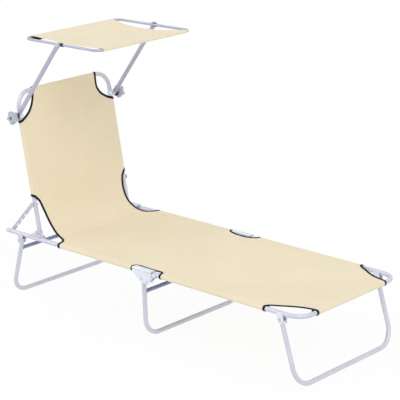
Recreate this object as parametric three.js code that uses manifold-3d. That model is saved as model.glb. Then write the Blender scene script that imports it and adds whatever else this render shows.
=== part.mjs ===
// A folding sun lounger with a canopy: a seat frame, a foot section and a backrest of bent
// tube, three folding U-shaped legs, a fabric sling and a sunshade on two swinging arms.
// Lengths are in millimetres and angles in degrees. +Z is up and +X points to the foot end.
// Stations are distances along X from the rear end of the seat rails.
import * as THREE from "three";
import { mergeVertices } from "three/addons/utils/BufferGeometryUtils.js";
import Module from "manifold-3d";

const wasm = await Module();
wasm.setup();

// Driving dimensions of the bed
const clearance = 0.3;
const tubeRadius = 8.5;
const tubeWall = 1;
const bedWidth = 541;
const railHeight = 263;
const seatLength = 765;
const bedLength = 1468;
const frameBend = 60;
const buttGap = 1;

// Brackets and fasteners
const plateThickness = 1.5;
const rivetRadius = 2.5;
const pinRadius = 3;
const headRadius = 5;
const headHeight = 1.5;
const capFlange = 2;
const capDepth = 12;

// Legs: where they pivot, and how far their base tubes stand from below the pivots
const legBend = 70;
const legGap = 3.5;
const legEnd = 6.5;
const rearLegPivot = 83;
const rearLegKick = 68.5;
const middleLegSetback = 27;
const middleLegKick = 1.5;
const middleLegDrop = 25;
const middleLegToe = 8;
const footLegInset = 86;
const footLegKick = 71;
const barRadius = 7.5;
const rearBarReach = 39;
const middleBarReach = 54;
const legBracketLength = 30;
const legBracketRise = 3;
const foldGap = 1.7;
const stopStart = 8;

// Joint of the seat rails with the foot section
const hingeDrop = 33;
const hingeBossRadius = 8;
const hingeBracketTail = 75;
const hingeBracketNose = 22;
const hingeRivetReach = 24;
const earSlope = 30;
const footBracketLength = 41;
const footBracketRise = 3;
const footRivetReach = 31;

// Backrest
const backPivot = 151;
const backPivotRise = 13;
const backLean = 79.5;
const backLength = 546;
const backEnd = 10;
const sideRoom = 13.7;
const pivotPlateTail = 22;
const pivotPlateNose = 40;
const pivotEarRadius = 10;
const pivotRivetInset = 10;

// Ratchet racks that prop the backrest
const rackPivotReach = 111;
const rackPinStation = 18;
const rackPinRise = 2;
const rackThickness = 2;
const rackWidth = 16;
const rackShift = 3;
const rackSpacer = 5.2;
const rackEnd = 9;
const notchWidth = 6.8;
const notchDepth = 8.6;
const notchLean = 4;
const notchStep = 34;
const notchCount = 4;

// Canopy arms, clamps and star knobs
const clampReach = 458;
const clampLead = 7;
const clampWidth = 20;
const clampWall = 2;
const clampBoss = 3;
const clampBossRadius = 8;
const clampNutRadius = 8;
const clampNutHeight = 5;
const armWidth = 17.5;
const armThickness = 9;
const armWall = 1.2;
const armLength = 386;
const armAngle = 52.5;
const armStraight = 22;
const armConverge = 3.7;
const tongueLength = 36;
const tongueTaper = 18;
const tongueShift = 2;
const tongueThickness = 2.8;
const tongueRadius = 10.5;
const armCapRadius = 9;
const armCapHeight = 5;
const washerRadius = 16;
const washerThickness = 2;
const knobBossRadius = 11;
const knobBossHeight = 8;
const knobHeadHeight = 22;
const knobHeadRadius = 22;
const knobLobe = 4.4;
const knobLobes = 5;
const knobEdge = 3;
const knobFloor = 6;

// Canopy
const canopyTubeRadius = 5;
const canopyTubeWall = 0.8;
const canopyLength = 390;
const canopyShift = 4;
const canopyBend = 30;
const canopyRise = 0.5;
const clipTail = 8;
const clipNose = 20;
const clipWall = 1.7;

// Fabric
const clothThickness = 1.2;
const creaseStation = 266;
const creaseInset = 42;
const seatSleeveStart = 296;
const middleCutBefore = 80;
const middleCutAfter = 61;
const middleCutDepth = 20;
const seamGap = 1;
const creaseGap = 1.4;
const footSleeveInset = 157;
const footCutInset = 82;
const footCutRoundShare = 0.37;
const backSleeveStart = 146;
const backSleeveEnd = 435;
const backCurveStart = 160;
const backLowerInset = 28;
const backCutInset = 72;
const backCutRoundShare = 0.6;
const canopyHeadInset = 50;
const canopyMiddleInset = 25;
const canopyFootInset = 31;
const cutOverrun = 40;

// Facets of round shapes, and how close two corners lie that are one
const tubeSides = 12;
const roundSides = 10;
const bendSteps = 5;
const lobeSteps = 8;
const edgeSteps = 2;
const mergeDistance = 1e-4;

// Values that follow from the sizes above
const toRadians = THREE.MathUtils.degToRad;
const tubeCorner = tubeRadius / Math.cos(Math.PI / tubeSides);
const snug = tubeRadius + clearance;
const legSnug = tubeCorner + clearance;
const rearLegBase = rearLegPivot - rearLegKick;
const middleLegPivot = seatLength - middleLegSetback;
const middleLegBase = middleLegPivot - middleLegKick;
const footLegPivot = bedLength - footLegInset;
const footLegBase = footLegPivot + footLegKick;
const railY = bedWidth / 2;
const backY = railY - 2 * tubeRadius - sideRoom;
const legDrop = 2 * tubeRadius + legGap;
const legBracketDepth = 2 * hingeDrop - legDrop - tubeCorner - foldGap;
const hingeDepth = hingeDrop + hingeBossRadius;
const legPlateOut = legSnug + plateThickness;
const footPlateIn = snug;
const footPlateOut = footPlateIn + plateThickness;
const hingePlateIn = footPlateOut + clearance;
const hingePlateOut = hingePlateIn + plateThickness;
const rackIn = backY + tubeRadius + rackSpacer;
const rackOut = rackIn + rackThickness;
const clampOut = backY + tubeRadius + clearance + clampWall + clampBoss;
const armIn = clampOut + clearance;
const armOut = armIn + armThickness;
const washerIn = armOut + clearance;
const washerOut = washerIn + washerThickness;
const knobIn = washerOut + clearance;
const tongueIn = armIn - tongueShift;
const tongueOut = tongueIn + tongueThickness;
const canopySnug = canopyTubeRadius + clearance;
const clipOut = tongueIn - clearance;
const canopyY = clipOut - clipWall - canopySnug;
const sleeveOut = snug + clothThickness;
const centreStation = (bedLength + sleeveOut - capFlange - clearance) / 2;

// Materials
const finish = (color, roughness, metalness) => ({ color, roughness, metalness });
const paintedTube = finish(0xc6c5d2, 0.35, 0.55);
const zincPlate = finish(0xcdd6e2, 0.3, 0.8);
const steelRivet = finish(0xa9adb8, 0.3, 0.9);
const greyPlastic = finish(0xb4bac4, 0.55, 0);
const blackPlastic = finish(0x15171c, 0.5, 0);
const beigeFabric = finish(0xe9dcbc, 0.9, 0);

// Turns a closed geometry into a solid with its faces pointing out
function solidOf(geometry) {
  const bare = geometry.clone();
  bare.deleteAttribute("normal");
  bare.deleteAttribute("uv");
  const merged = mergeVertices(bare, mergeDistance);
  const vertProperties = new Float32Array(merged.attributes.position.array);
  const triVerts = new Uint32Array(merged.index.array);
  const made = new wasm.Manifold(new wasm.Mesh({ numProp: 3, vertProperties, triVerts }));
  if (made.volume() >= 0) {
    return made;
  }
  for (let i = 0; i < triVerts.length; i += 3) {
    [triVerts[i + 1], triVerts[i + 2]] = [triVerts[i + 2], triVerts[i + 1]];
  }
  return new wasm.Manifold(new wasm.Mesh({ numProp: 3, vertProperties, triVerts }));
}

function geometryOf(solid) {
  const mesh = solid.getMesh();
  const geometry = new THREE.BufferGeometry();
  geometry.setAttribute("position", new THREE.BufferAttribute(mesh.vertProperties, 3));
  geometry.setIndex(new THREE.BufferAttribute(mesh.triVerts, 1));
  geometry.computeVertexNormals();
  return geometry;
}

function join(...geometries) {
  return geometryOf(geometries.map(solidOf).reduce((sum, next) => sum.add(next)));
}

function shared(first, second) {
  return geometryOf(solidOf(first).intersect(solidOf(second)));
}

function cut(body, ...tools) {
  return geometryOf(tools.map(solidOf).reduce((rest, tool) => rest.subtract(tool), solidOf(body)));
}

// A path of straight runs and round bends in the local XY plane
class BentPath extends THREE.Curve {
  constructor(corners, bend) {
    super();
    this.stations = [];
    corners.forEach((corner, i) => {
      const before = i > 0 ? corner.clone().sub(corners[i - 1]).normalize() : null;
      const after = i < corners.length - 1 ? corners[i + 1].clone().sub(corner).normalize() : null;
      if (before && after) {
        this.addBend(corner, before, after, bend);
      } else {
        this.stations.push({ point: corner, tangent: before || after });
      }
    });
  }

  addBend(corner, before, after, bend) {
    const axis = new THREE.Vector3().crossVectors(before, after).normalize();
    const turn = before.angleTo(after);
    const start = corner.clone().addScaledVector(before, -bend * Math.tan(turn / 2));
    const inward = new THREE.Vector3().crossVectors(axis, before);
    const centre = start.clone().addScaledVector(inward, bend);
    for (let step = 0; step <= bendSteps; step += 1) {
      const angle = (turn * step) / bendSteps;
      const outward = inward.clone().negate().applyAxisAngle(axis, angle);
      const tangent = before.clone().applyAxisAngle(axis, angle);
      this.stations.push({ point: centre.clone().addScaledVector(outward, bend), tangent });
    }
  }

  stationAt(share) {
    return this.stations[Math.round(share * (this.stations.length - 1))];
  }

  getPointAt(share) {
    return this.stationAt(share).point.clone();
  }

  getTangentAt(share) {
    return this.stationAt(share).tangent.clone();
  }
}

function polygon(radius, turn) {
  const corner = radius / Math.cos(Math.PI / tubeSides);
  const points = [];
  for (let side = 0; side < tubeSides; side += 1) {
    const angle = ((side + 0.5) * 2 * Math.PI) / tubeSides + turn;
    points.push(new THREE.Vector2(corner * Math.cos(angle), corner * Math.sin(angle)));
  }
  return points;
}

// A hollow tube through the corners, with its section turned about its own axis
function tube(corners, bend, radius, wall, turn = 0) {
  const section = new THREE.Shape(polygon(radius, turn));
  section.holes.push(new THREE.Path(polygon(radius - wall, turn)));
  const extrudePath = new BentPath(corners, bend);
  const steps = extrudePath.stations.length - 1;
  return new THREE.ExtrudeGeometry(section, { steps, extrudePath, bevelEnabled: false });
}

// A U-shaped tube that opens towards -X: two legs joined by a cross run
function uTube(start, end, halfStart, halfEnd, bend, turn) {
  const corners = [
    new THREE.Vector3(start, -halfStart, 0),
    new THREE.Vector3(end, -halfEnd, 0),
    new THREE.Vector3(end, halfEnd, 0),
    new THREE.Vector3(start, halfStart, 0),
  ];
  return tube(corners, bend, tubeRadius, tubeWall, turn);
}

// A round piece about a line parallel to Y, from a list of [radius, length] steps
function turned(start, steps, x = 0, z = 0) {
  const profile = [new THREE.Vector2(0, start)];
  let y = start;
  for (const [radius, length] of steps) {
    profile.push(new THREE.Vector2(radius, y));
    y += length;
    profile.push(new THREE.Vector2(radius, y));
  }
  profile.push(new THREE.Vector2(0, y));
  return new THREE.LatheGeometry(profile, roundSides).translate(x, 0, z);
}

// A bore cut along Y with room for a shank of the given radius
function bore(radius, from, to, x = 0, z = 0) {
  const corner = (radius + clearance) / Math.cos(Math.PI / roundSides);
  return turned(from, [[corner, to - from]], x, z);
}

// A plate whose outline is drawn in X and Z, between two distances along Y
function sidePlate(outline, from, to) {
  const shape = outline instanceof THREE.Shape ? outline : new THREE.Shape(outline);
  const options = { depth: to - from, bevelEnabled: false, curveSegments: roundSides / 2 };
  return new THREE.ExtrudeGeometry(shape, options).rotateX(Math.PI / 2).translate(0, to, 0);
}

// A plate whose outline is drawn in X and Y, between two heights
function flatPlate(outline, from, to) {
  const shape = outline instanceof THREE.Shape ? outline : new THREE.Shape(outline);
  const options = { depth: to - from, bevelEnabled: false, curveSegments: roundSides };
  return new THREE.ExtrudeGeometry(shape, options).translate(0, 0, from);
}

function block(x0, x1, y0, y1, z0, z1) {
  const box = new THREE.BoxGeometry(x1 - x0, y1 - y0, z1 - z0);
  return box.translate((x0 + x1) / 2, (y0 + y1) / 2, (z0 + z1) / 2);
}

const sides = [["near", -1], ["far", 1]];
const at = (x, y) => new THREE.Vector2(x, y);
const mirrored = (geometry, side) => geometryOf(solidOf(geometry.clone().scale(1, side, 1)));

function add(parent, name, geometry, look) {
  const mesh = new THREE.Mesh(geometryOf(solidOf(geometry)), new THREE.MeshStandardMaterial(look));
  mesh.name = name;
  parent.add(mesh);
  return mesh;
}

// A group whose +X points up from the horizontal by the given angle
function pivotGroup(parent, x, z, angle) {
  const group = new THREE.Group();
  group.position.set(x, 0, z);
  group.rotation.y = -toRadians(angle);
  parent.add(group);
  return group;
}

// Seat rails
function seatRail() {
  const end = seatLength - buttGap / 2;
  const line = [new THREE.Vector3(0, railY, 0), new THREE.Vector3(end, railY, 0)];
  const from = railY - hingePlateOut;
  const to = railY + hingePlateOut;
  return cut(
    tube(line, frameBend, tubeRadius, tubeWall),
    bore(pinRadius, from, to, rackPinStation, rackPinRise),
    bore(rivetRadius, from, to, rearLegPivot),
    bore(rivetRadius, from, to, seatLength - hingeRivetReach),
    pivotPlateBore(backPivot - pivotPlateTail + pivotRivetInset),
    pivotPlateBore(backPivot + pivotPlateNose - pivotRivetInset),
  );
}

function pivotPlateBore(station) {
  const drill = bore(rivetRadius, 0, snug + plateThickness).rotateX(Math.PI / 2);
  return drill.translate(station, railY, 0);
}

function railCap() {
  const plug = (tubeRadius - tubeWall) * Math.cos(Math.PI / roundSides) - clearance;
  const turnedCap = turned(0, [[tubeRadius, capFlange], [plug, capDepth]]);
  return turnedCap.rotateZ(-Math.PI / 2).translate(-capFlange - clearance, railY, 0);
}

// A pin with two heads that joins what lies between two distances along Y
function headedPin(from, to, radius, x = 0, z = 0) {
  const shank = to - from + 2 * clearance;
  const steps = [[headRadius, headHeight], [radius, shank], [headRadius, headHeight]];
  return turned(from - clearance - headHeight, steps, x, z);
}

// Leg brackets: two cheeks that hug the rail and the leg, a stop strip and a rail rivet
function legBracket(lean) {
  const half = legBracketLength / 2;
  const slide = legBracketDepth * Math.tan(toRadians(lean));
  const outline = [
    at(-half, legBracketRise),
    at(half, legBracketRise),
    at(half, -tubeRadius),
    at(half / 2 + slide, -legBracketDepth),
    at(-half + slide, -legBracketDepth),
  ];
  if (lean < 0) {
    outline[2] = at(half + slide, -legBracketDepth);
    outline[3] = at(-half / 2 + slide, -legBracketDepth);
    outline[4] = at(-half, -tubeRadius);
  }
  const cheek = (inner) => sidePlate(outline, inner, inner + plateThickness);
  const rivetY = legPlateOut - clearance;
  return join(
    cheek(railY + legSnug),
    cheek(railY - legPlateOut),
    stopStrip(lean),
    headedPin(railY - rivetY, railY + rivetY, rivetRadius),
  );
}

// The strip that the open leg leans on, on its outer side below the pivot
function stopStrip(lean) {
  const outer = Math.sign(lean);
  const angle = toRadians(lean);
  const length = (legBracketDepth - legDrop) / Math.cos(angle) - stopStart;
  const strip = block(
    Math.min(outer * legSnug, outer * legPlateOut),
    Math.max(outer * legSnug, outer * legPlateOut),
    railY - legPlateOut,
    railY + legPlateOut,
    -stopStart - length,
    -stopStart,
  );
  return strip.rotateY(-angle).translate(0, 0, -legDrop);
}

function legBracketWithBore(lean) {
  return cut(
    legBracket(lean),
    bore(pinRadius, railY - hingePlateOut, railY + hingePlateOut, 0, -legDrop),
  );
}

// Legs: a U-shaped tube from its two pivots down to the floor
function legFrame(reach, toe, turn) {
  const from = -railY - hingePlateOut;
  return cut(
    uTube(-legEnd, reach, railY, railY - toe, legBend, turn),
    bore(pinRadius, from, -from),
  );
}

function legBar(reach, barReach, toe) {
  const half = railY - (toe * barReach) / reach - legSnug;
  const line = [new THREE.Vector3(barReach, -half, 0), new THREE.Vector3(barReach, half, 0)];
  return tube(line, frameBend, barRadius, tubeWall);
}

function addLeg(parent, name, pivot, base, drop, toe, barReach) {
  const fall = railHeight - drop - tubeRadius;
  const reach = Math.hypot(base - pivot, fall);
  const lean = THREE.MathUtils.radToDeg(Math.atan2(base - pivot, fall));
  const leg = pivotGroup(parent, pivot, -drop, lean - 90);
  add(leg, name + "_leg_frame", legFrame(reach, toe, toRadians(lean)), paintedTube);
  if (barReach) {
    add(leg, name + "_leg_crossbar", legBar(reach, barReach, toe), paintedTube);
  }
  return leg;
}

function addLegPins(leg, name, plateOut) {
  for (const [word, side] of sides) {
    const pin = headedPin(railY - plateOut, railY + plateOut, pinRadius);
    add(leg, name + "_leg_rivet_" + word, mirrored(pin, side), steelRivet);
  }
}

// Section joint: a channel over the rail ends with ears that carry the two pivots
function hingeEarOutline() {
  const top = snug + plateThickness;
  const leg = middleLegPivot - seatLength;
  return [
    at(-hingeBracketTail, top),
    at(hingeBracketNose, top),
    at(hingeBracketNose, -tubeRadius),
    at(hingeBossRadius, -hingeDepth),
    at(leg, -hingeDepth),
    at(leg - earSlope / 2, -hingeDepth + hingeBossRadius),
    at(-hingeBracketTail, -tubeRadius / 2),
  ];
}

function hingeBracket() {
  const cheek = (inner) => sidePlate(hingeEarOutline(), inner, inner + plateThickness);
  const rivetY = hingePlateOut - clearance;
  const shell = join(
    cheek(railY + hingePlateIn),
    cheek(railY - hingePlateOut),
    block(-hingeBracketTail, hingeBracketNose, railY - hingePlateOut, railY + hingePlateOut,
      snug, snug + plateThickness),
    headedPin(railY - rivetY, railY + rivetY, rivetRadius, -hingeRivetReach),
  );
  const from = railY - hingePlateOut - headHeight;
  const to = railY + hingePlateOut + headHeight;
  return cut(
    shell,
    bore(pinRadius, from, to, 0, -hingeDrop),
    bore(pinRadius, from, to, middleLegPivot - seatLength, -middleLegDrop),
  );
}

// The foot section's half of the joint: a saddle under its tube with two hinge ears
function footBracket() {
  const start = hingeBossRadius + buttGap;
  const outline = [
    at(-hingeBossRadius, -hingeDrop),
    at(-hingeBossRadius / 2, -hingeDepth + clearance),
    at(hingeBossRadius / 2, -hingeDepth + clearance),
    at(hingeBossRadius, -hingeDrop),
    at(footBracketLength - start, -snug - plateThickness),
    at(footBracketLength, -snug - plateThickness),
    at(footBracketLength, footBracketRise),
    at(start, footBracketRise),
    at(-hingeBossRadius / 2, -hingeDrop + hingeBossRadius),
  ];
  const cheek = (inner) => sidePlate(outline, inner, inner + plateThickness);
  const rivetY = footPlateOut - clearance;
  const shell = join(
    cheek(railY + footPlateIn),
    cheek(railY - footPlateOut),
    block(start + hingeBossRadius, footBracketLength, railY - footPlateOut, railY + footPlateOut,
      -snug - plateThickness, -snug),
    headedPin(railY - rivetY, railY + rivetY, rivetRadius, footRivetReach),
  );
  const slot = bore(pinRadius, railY - footPlateOut, railY + footPlateOut, 0, -hingeDrop);
  return cut(shell, slot);
}

// Foot section frame, in stations measured from the section joint
function footFrame() {
  const end = bedLength - seatLength;
  const far = railY + hingePlateOut;
  return cut(
    uTube(buttGap / 2, end, railY, railY, frameBend, 0),
    bore(rivetRadius, -far, far, footRivetReach),
    bore(rivetRadius, -far, far, footLegPivot - seatLength),
  );
}

// Backrest
function backFrame() {
  const far = backY + tubeRadius;
  return cut(
    uTube(-backEnd, backLength, backY, backY, frameBend, 0),
    bore(pinRadius, -far, far),
    bore(rivetRadius, -far, far, rackPivotReach),
  );
}

// The bracket that lies on a seat rail and holds the backrest's pivot beside it
function pivotBracket() {
  const earIn = backY + snug;
  const earOut = earIn + plateThickness;
  const plateLow = snug;
  const plateHigh = snug + plateThickness;
  const ear = new THREE.Shape([
    at(-pivotPlateTail, plateLow),
    at(-pivotEarRadius, backPivotRise - pivotEarRadius),
    at(pivotEarRadius, backPivotRise - pivotEarRadius),
    at(pivotPlateNose, plateLow),
    at(pivotPlateNose, plateHigh),
    at(pivotEarRadius, backPivotRise + pivotEarRadius),
    at(-pivotEarRadius, backPivotRise + pivotEarRadius),
    at(-pivotPlateTail, plateHigh),
  ]);
  const rivet = (x) => pivotRivet().translate(x, railY, 0);
  const shell = join(
    sidePlate(ear, earIn, earOut),
    block(-pivotPlateTail, pivotPlateNose, earIn, railY + tubeRadius, plateLow, plateHigh),
    rivet(pivotRivetInset - pivotPlateTail),
    rivet(pivotPlateNose - pivotRivetInset),
  );
  return cut(
    shell,
    bore(pinRadius, earIn, earOut, 0, backPivotRise),
    bore(headRadius, earOut, earOut + headHeight + 2 * clearance, 0, backPivotRise),
  );
}

// A blind rivet through the top wall of the rail
function pivotRivet() {
  const bottom = tubeRadius - tubeWall - headHeight;
  const head = snug + plateThickness - clearance;
  const steps = [[rivetRadius, head - bottom], [headRadius, headHeight + clearance]];
  return turned(bottom, steps).rotateX(Math.PI / 2);
}

// The station and height of a point up the backrest, a little in front of its tubes
function onBack(reach, lead) {
  const lean = toRadians(backLean);
  return at(
    backPivot - reach * Math.cos(lean) + lead * Math.sin(lean),
    backPivotRise + reach * Math.sin(lean) + lead * Math.cos(lean),
  );
}

// A rack: a strip with slanted notches that hook onto the pin of the seat rail
function rack(reach) {
  const half = rackWidth / 2;
  const low = rackShift + half;
  const high = half - rackShift;
  const outline = [at(-half, -low), at(reach + rackEnd, -low), at(reach + rackEnd, high)];
  for (let notch = 0; notch < notchCount; notch += 1) {
    const centre = reach - notch * notchStep;
    outline.push(
      at(centre + notchWidth / 2 + notchLean, high),
      at(centre + notchWidth / 2, high - notchDepth),
      at(centre - notchWidth / 2, high - notchDepth),
      at(centre - notchWidth / 2 + notchLean, high),
    );
  }
  outline.push(at(-half, high));
  return cut(sidePlate(outline, rackIn, rackOut), bore(rivetRadius, rackIn, rackOut));
}

function rackPin() {
  const head = railY + tubeRadius + clearance;
  const tip = rackOut + 2 * clearance;
  return turned(tip, [[pinRadius, head - tip], [headRadius, headHeight]]);
}

function rackBolt() {
  const innerHead = backY - tubeRadius - clearance;
  const spacerStart = backY + tubeRadius + clearance;
  const spacerLength = rackSpacer - 2 * clearance;
  const steps = [
    [headRadius, headHeight],
    [rivetRadius, spacerStart - innerHead],
    [headRadius, spacerLength],
    [rivetRadius, rackThickness + 2 * clearance],
    [headRadius, headHeight],
  ];
  return turned(innerHead - headHeight, steps, rackPivotReach);
}

// A clamp round the backrest tube, with the stud that carries an arm and its star knob
function armClamp() {
  const half = clampWidth / 2;
  const line = [new THREE.Vector3(-half, backY, 0), new THREE.Vector3(half, backY, 0)];
  const ringOut = tubeRadius + clearance + clampWall;
  const ring = tube(line, frameBend, ringOut, clampWall);
  const ringStart = ringOut - clampWall / 2;
  const studTip = knobIn + knobBossHeight + knobHeadHeight - knobFloor;
  const steps = [
    [clampBossRadius, clampOut - backY - ringStart],
    [pinRadius, studTip - clampOut],
  ];
  const stud = turned(backY + ringStart, steps, 0, -clampLead);
  const nut = turned(backY - ringStart - clampNutHeight, [[clampNutRadius, clampNutHeight]]);
  return join(ring, stud, nut);
}

// Arms of flat-oval tube that lean inwards and end in a wider, flattened tongue
function armOutline() {
  const half = armWidth / 2;
  const shape = new THREE.Shape();
  shape.moveTo(0, -half);
  shape.lineTo(armLength - tongueLength, -half);
  shape.lineTo(armLength, -tongueRadius);
  shape.absarc(armLength, 0, tongueRadius, -Math.PI / 2, Math.PI / 2, false);
  shape.lineTo(armLength - tongueLength, half);
  shape.lineTo(0, half);
  shape.absarc(0, 0, half, Math.PI / 2, (3 * Math.PI) / 2, false);
  return shape;
}

// The arm's edge as seen from above, in X and Y; the bore inside it is shorter and thinner
function armEdge(wall) {
  const bend = armLength - tongueLength;
  return [
    at(wall - armWidth / 2, armIn + wall),
    at(armStraight, armIn + wall),
    at(bend, armIn - armConverge + wall),
    at(bend, armOut - armConverge - wall),
    at(armStraight, armOut - wall),
    at(wall - armWidth / 2, armOut - wall),
  ];
}

function arm() {
  const inside = armWidth / 2 - armWall;
  const bend = armLength - tongueLength;
  const solid = armEdge(0);
  solid.splice(
    3,
    0,
    at(bend + tongueTaper, tongueIn),
    at(armLength + tongueRadius, tongueIn),
    at(armLength + tongueRadius, tongueOut),
    at(bend + tongueTaper, tongueOut),
  );
  return cut(
    shared(
      sidePlate(armOutline(), armIn - armConverge, armOut),
      flatPlate(solid, -tongueRadius, tongueRadius),
    ),
    flatPlate(armEdge(armWall), -inside, inside),
    bore(pinRadius, armIn, armOut),
    bore(rivetRadius, tongueIn, tongueOut, armLength),
  );
}

function washer() {
  return cut(turned(washerIn, [[washerRadius, washerThickness]]), bore(pinRadius, washerIn, washerOut));
}

// A blind rivet through the arm's tongue, the clip and the wall of the canopy's tube
function armRivet() {
  const tip = canopyY + canopyTubeRadius - canopyTubeWall - headHeight;
  return turned(tip, [[rivetRadius, tongueOut + clearance - tip], [armCapRadius, armCapHeight]]);
}

// A star knob: a boss and a lobed head with rounded edges
function knob() {
  const star = [];
  const count = knobLobes * lobeSteps;
  for (let i = 0; i < count; i += 1) {
    const angle = (2 * Math.PI * i) / count;
    const radius = knobHeadRadius - knobEdge + knobLobe * Math.cos(knobLobes * angle);
    star.push(at(radius * Math.cos(angle), radius * Math.sin(angle)));
  }
  const options = {
    depth: knobHeadHeight - 2 * knobEdge,
    bevelThickness: knobEdge,
    bevelSize: knobEdge,
    bevelSegments: edgeSteps,
  };
  const headIn = knobIn + knobBossHeight;
  const head = new THREE.ExtrudeGeometry(new THREE.Shape(star), options)
    .rotateX(Math.PI / 2)
    .translate(0, headIn + knobHeadHeight - knobEdge, 0);
  const boss = turned(knobIn, [[knobBossRadius, knobBossHeight + knobEdge]]);
  const boreEnd = headIn + knobHeadHeight - knobFloor + clearance;
  return cut(join(head, boss), bore(pinRadius, knobIn, boreEnd));
}

// Canopy frame: one tube bent into a loop whose ends meet inside the head sleeve
function canopyFrame() {
  const low = canopyShift - canopyLength / 2;
  const high = canopyShift + canopyLength / 2;
  const corners = [
    new THREE.Vector3(low, buttGap / 2, 0),
    new THREE.Vector3(low, canopyY, 0),
    new THREE.Vector3(high, canopyY, 0),
    new THREE.Vector3(high, -canopyY, 0),
    new THREE.Vector3(low, -canopyY, 0),
    new THREE.Vector3(low, -buttGap / 2, 0),
  ];
  return cut(
    tube(corners, canopyBend, canopyTubeRadius, canopyTubeWall),
    bore(rivetRadius, canopyY, clipOut),
    bore(rivetRadius, -clipOut, -canopyY),
  );
}

// The plastic saddle between an arm's tongue and the outer half of the canopy's tube
function canopyClip() {
  const line = [new THREE.Vector3(-clipTail, canopyY, 0), new THREE.Vector3(clipNose, canopyY, 0)];
  const reach = canopySnug + clipWall;
  const cutReach = reach + cutOverrun;
  return cut(
    tube(line, frameBend, reach, clipWall),
    block(-clipTail - cutOverrun, clipNose + cutOverrun, canopyY - cutReach, canopyY, -cutReach, cutReach),
    bore(rivetRadius, canopyY, clipOut),
  );
}

// Fabric panels: a flat sheet with a sleeve round each side tube
function sleevePanel(half, from, to) {
  const sleeve = (y) => {
    const line = [new THREE.Vector3(from, y, 0), new THREE.Vector3(to, y, 0)];
    return tube(line, frameBend, sleeveOut, clothThickness);
  };
  return join(sleeve(half), sleeve(-half), block(from, to, -half, half, snug, sleeveOut));
}

// A sleeve round a cross tube that runs along Y
function crossSleeve(x, half, inner) {
  const line = [new THREE.Vector3(x, -half, 0), new THREE.Vector3(x, half, 0)];
  return tube(line, frameBend, inner + clothThickness, clothThickness);
}

// The cut-outs of the sling at the rounded frame corners; a share of 0 is a straight edge
function cornerCuts(start, end, innerStart, innerEnd, roundShare) {
  const outer = innerStart + cutOverrun;
  const bowX = (start + end) / 2 + (roundShare * (start - end)) / 2;
  const bowY = (innerStart + innerEnd) / 2 + (roundShare * (innerEnd - innerStart)) / 2;
  return [1, -1].map((side) => {
    const shape = new THREE.Shape();
    shape.moveTo(start, side * outer);
    shape.lineTo(start, side * innerStart);
    shape.quadraticCurveTo(bowX, side * bowY, end, side * innerEnd);
    shape.lineTo(end + cutOverrun, side * innerEnd);
    shape.lineTo(end + cutOverrun, side * outer);
    return flatPlate(shape, -cutOverrun, cutOverrun);
  });
}

function seatFabric() {
  const end = seatLength - seamGap / 2;
  const outer = railY + cutOverrun;
  const creaseY = railY - creaseInset;
  const middleY = railY - middleCutDepth;
  const notch = (side) => [
    flatPlate(
      [
        at(creaseStation - cutOverrun, side * creaseY),
        at(creaseStation, side * creaseY),
        at(seatSleeveStart, side * (railY - snug)),
        at(seatSleeveStart, side * outer),
        at(creaseStation - cutOverrun, side * outer),
      ],
      -cutOverrun,
      cutOverrun,
    ),
    block(
      seatLength - middleCutBefore,
      seatLength + cutOverrun,
      Math.min(side * middleY, side * outer),
      Math.max(side * middleY, side * outer),
      -cutOverrun,
      cutOverrun,
    ),
  ];
  return cut(sleevePanel(railY, creaseStation + creaseGap, end), ...notch(1), ...notch(-1));
}

function footFabric() {
  const start = seamGap / 2;
  const end = bedLength - seatLength;
  const outer = railY + cutOverrun;
  const middleY = railY - middleCutDepth;
  const sheetHalf = railY - footCutInset + cutOverrun;
  const sleeveEnd = end - footSleeveInset;
  const middleCut = (side) =>
    block(
      start - cutOverrun,
      middleCutAfter,
      Math.min(side * middleY, side * outer),
      Math.max(side * middleY, side * outer),
      -cutOverrun,
      cutOverrun,
    );
  return cut(
    join(
      sleevePanel(railY, start, sleeveEnd + cutOverrun),
      block(sleeveEnd, end, -sheetHalf, sheetHalf, snug, sleeveOut),
      crossSleeve(end, sheetHalf, snug),
    ),
    middleCut(1),
    middleCut(-1),
    ...cornerCuts(sleeveEnd, end, railY - snug, railY - footCutInset, footCutRoundShare),
  );
}

// The outline of a sheet of even thickness that follows a line
function sheetOutline(points, thickness) {
  const outer = points.map((point, i) => {
    const before = points[Math.max(i - 1, 0)];
    const after = points[Math.min(i + 1, points.length - 1)];
    const along = after.clone().sub(before).normalize();
    return at(point.x + along.y * thickness, point.y - along.x * thickness);
  });
  return [...points, ...outer.reverse()];
}

// The backrest's sling, with its slack lower part that curves forward to the seat
function backFabric() {
  const lean = toRadians(backLean);
  const dx = creaseStation - backPivot;
  const dz = snug - backPivotRise;
  const start = at(backCurveStart, snug);
  const bend = at((dz - snug * Math.cos(lean)) / Math.sin(lean), snug);
  const low = at(dz * Math.sin(lean) - dx * Math.cos(lean), dx * Math.sin(lean) + dz * Math.cos(lean));
  const line = new THREE.QuadraticBezierCurve(start, bend, low).getPoints(roundSides);
  const half = backY - backLowerInset;
  const apron = sidePlate(sheetOutline(line, clothThickness), -half, half);
  const top = backLength;
  const topHalf = backY - backCutInset + cutOverrun;
  const panel = join(
    apron,
    sleevePanel(backY, backSleeveStart, backSleeveEnd + cutOverrun),
    block(backSleeveEnd, top, -topHalf, topHalf, snug, sleeveOut),
    crossSleeve(top, topHalf, snug),
  );
  return cut(
    panel,
    ...cornerCuts(backSleeveEnd, top, backY - snug, backY - backCutInset, backCutRoundShare),
  ).rotateX(Math.PI);
}

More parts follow.
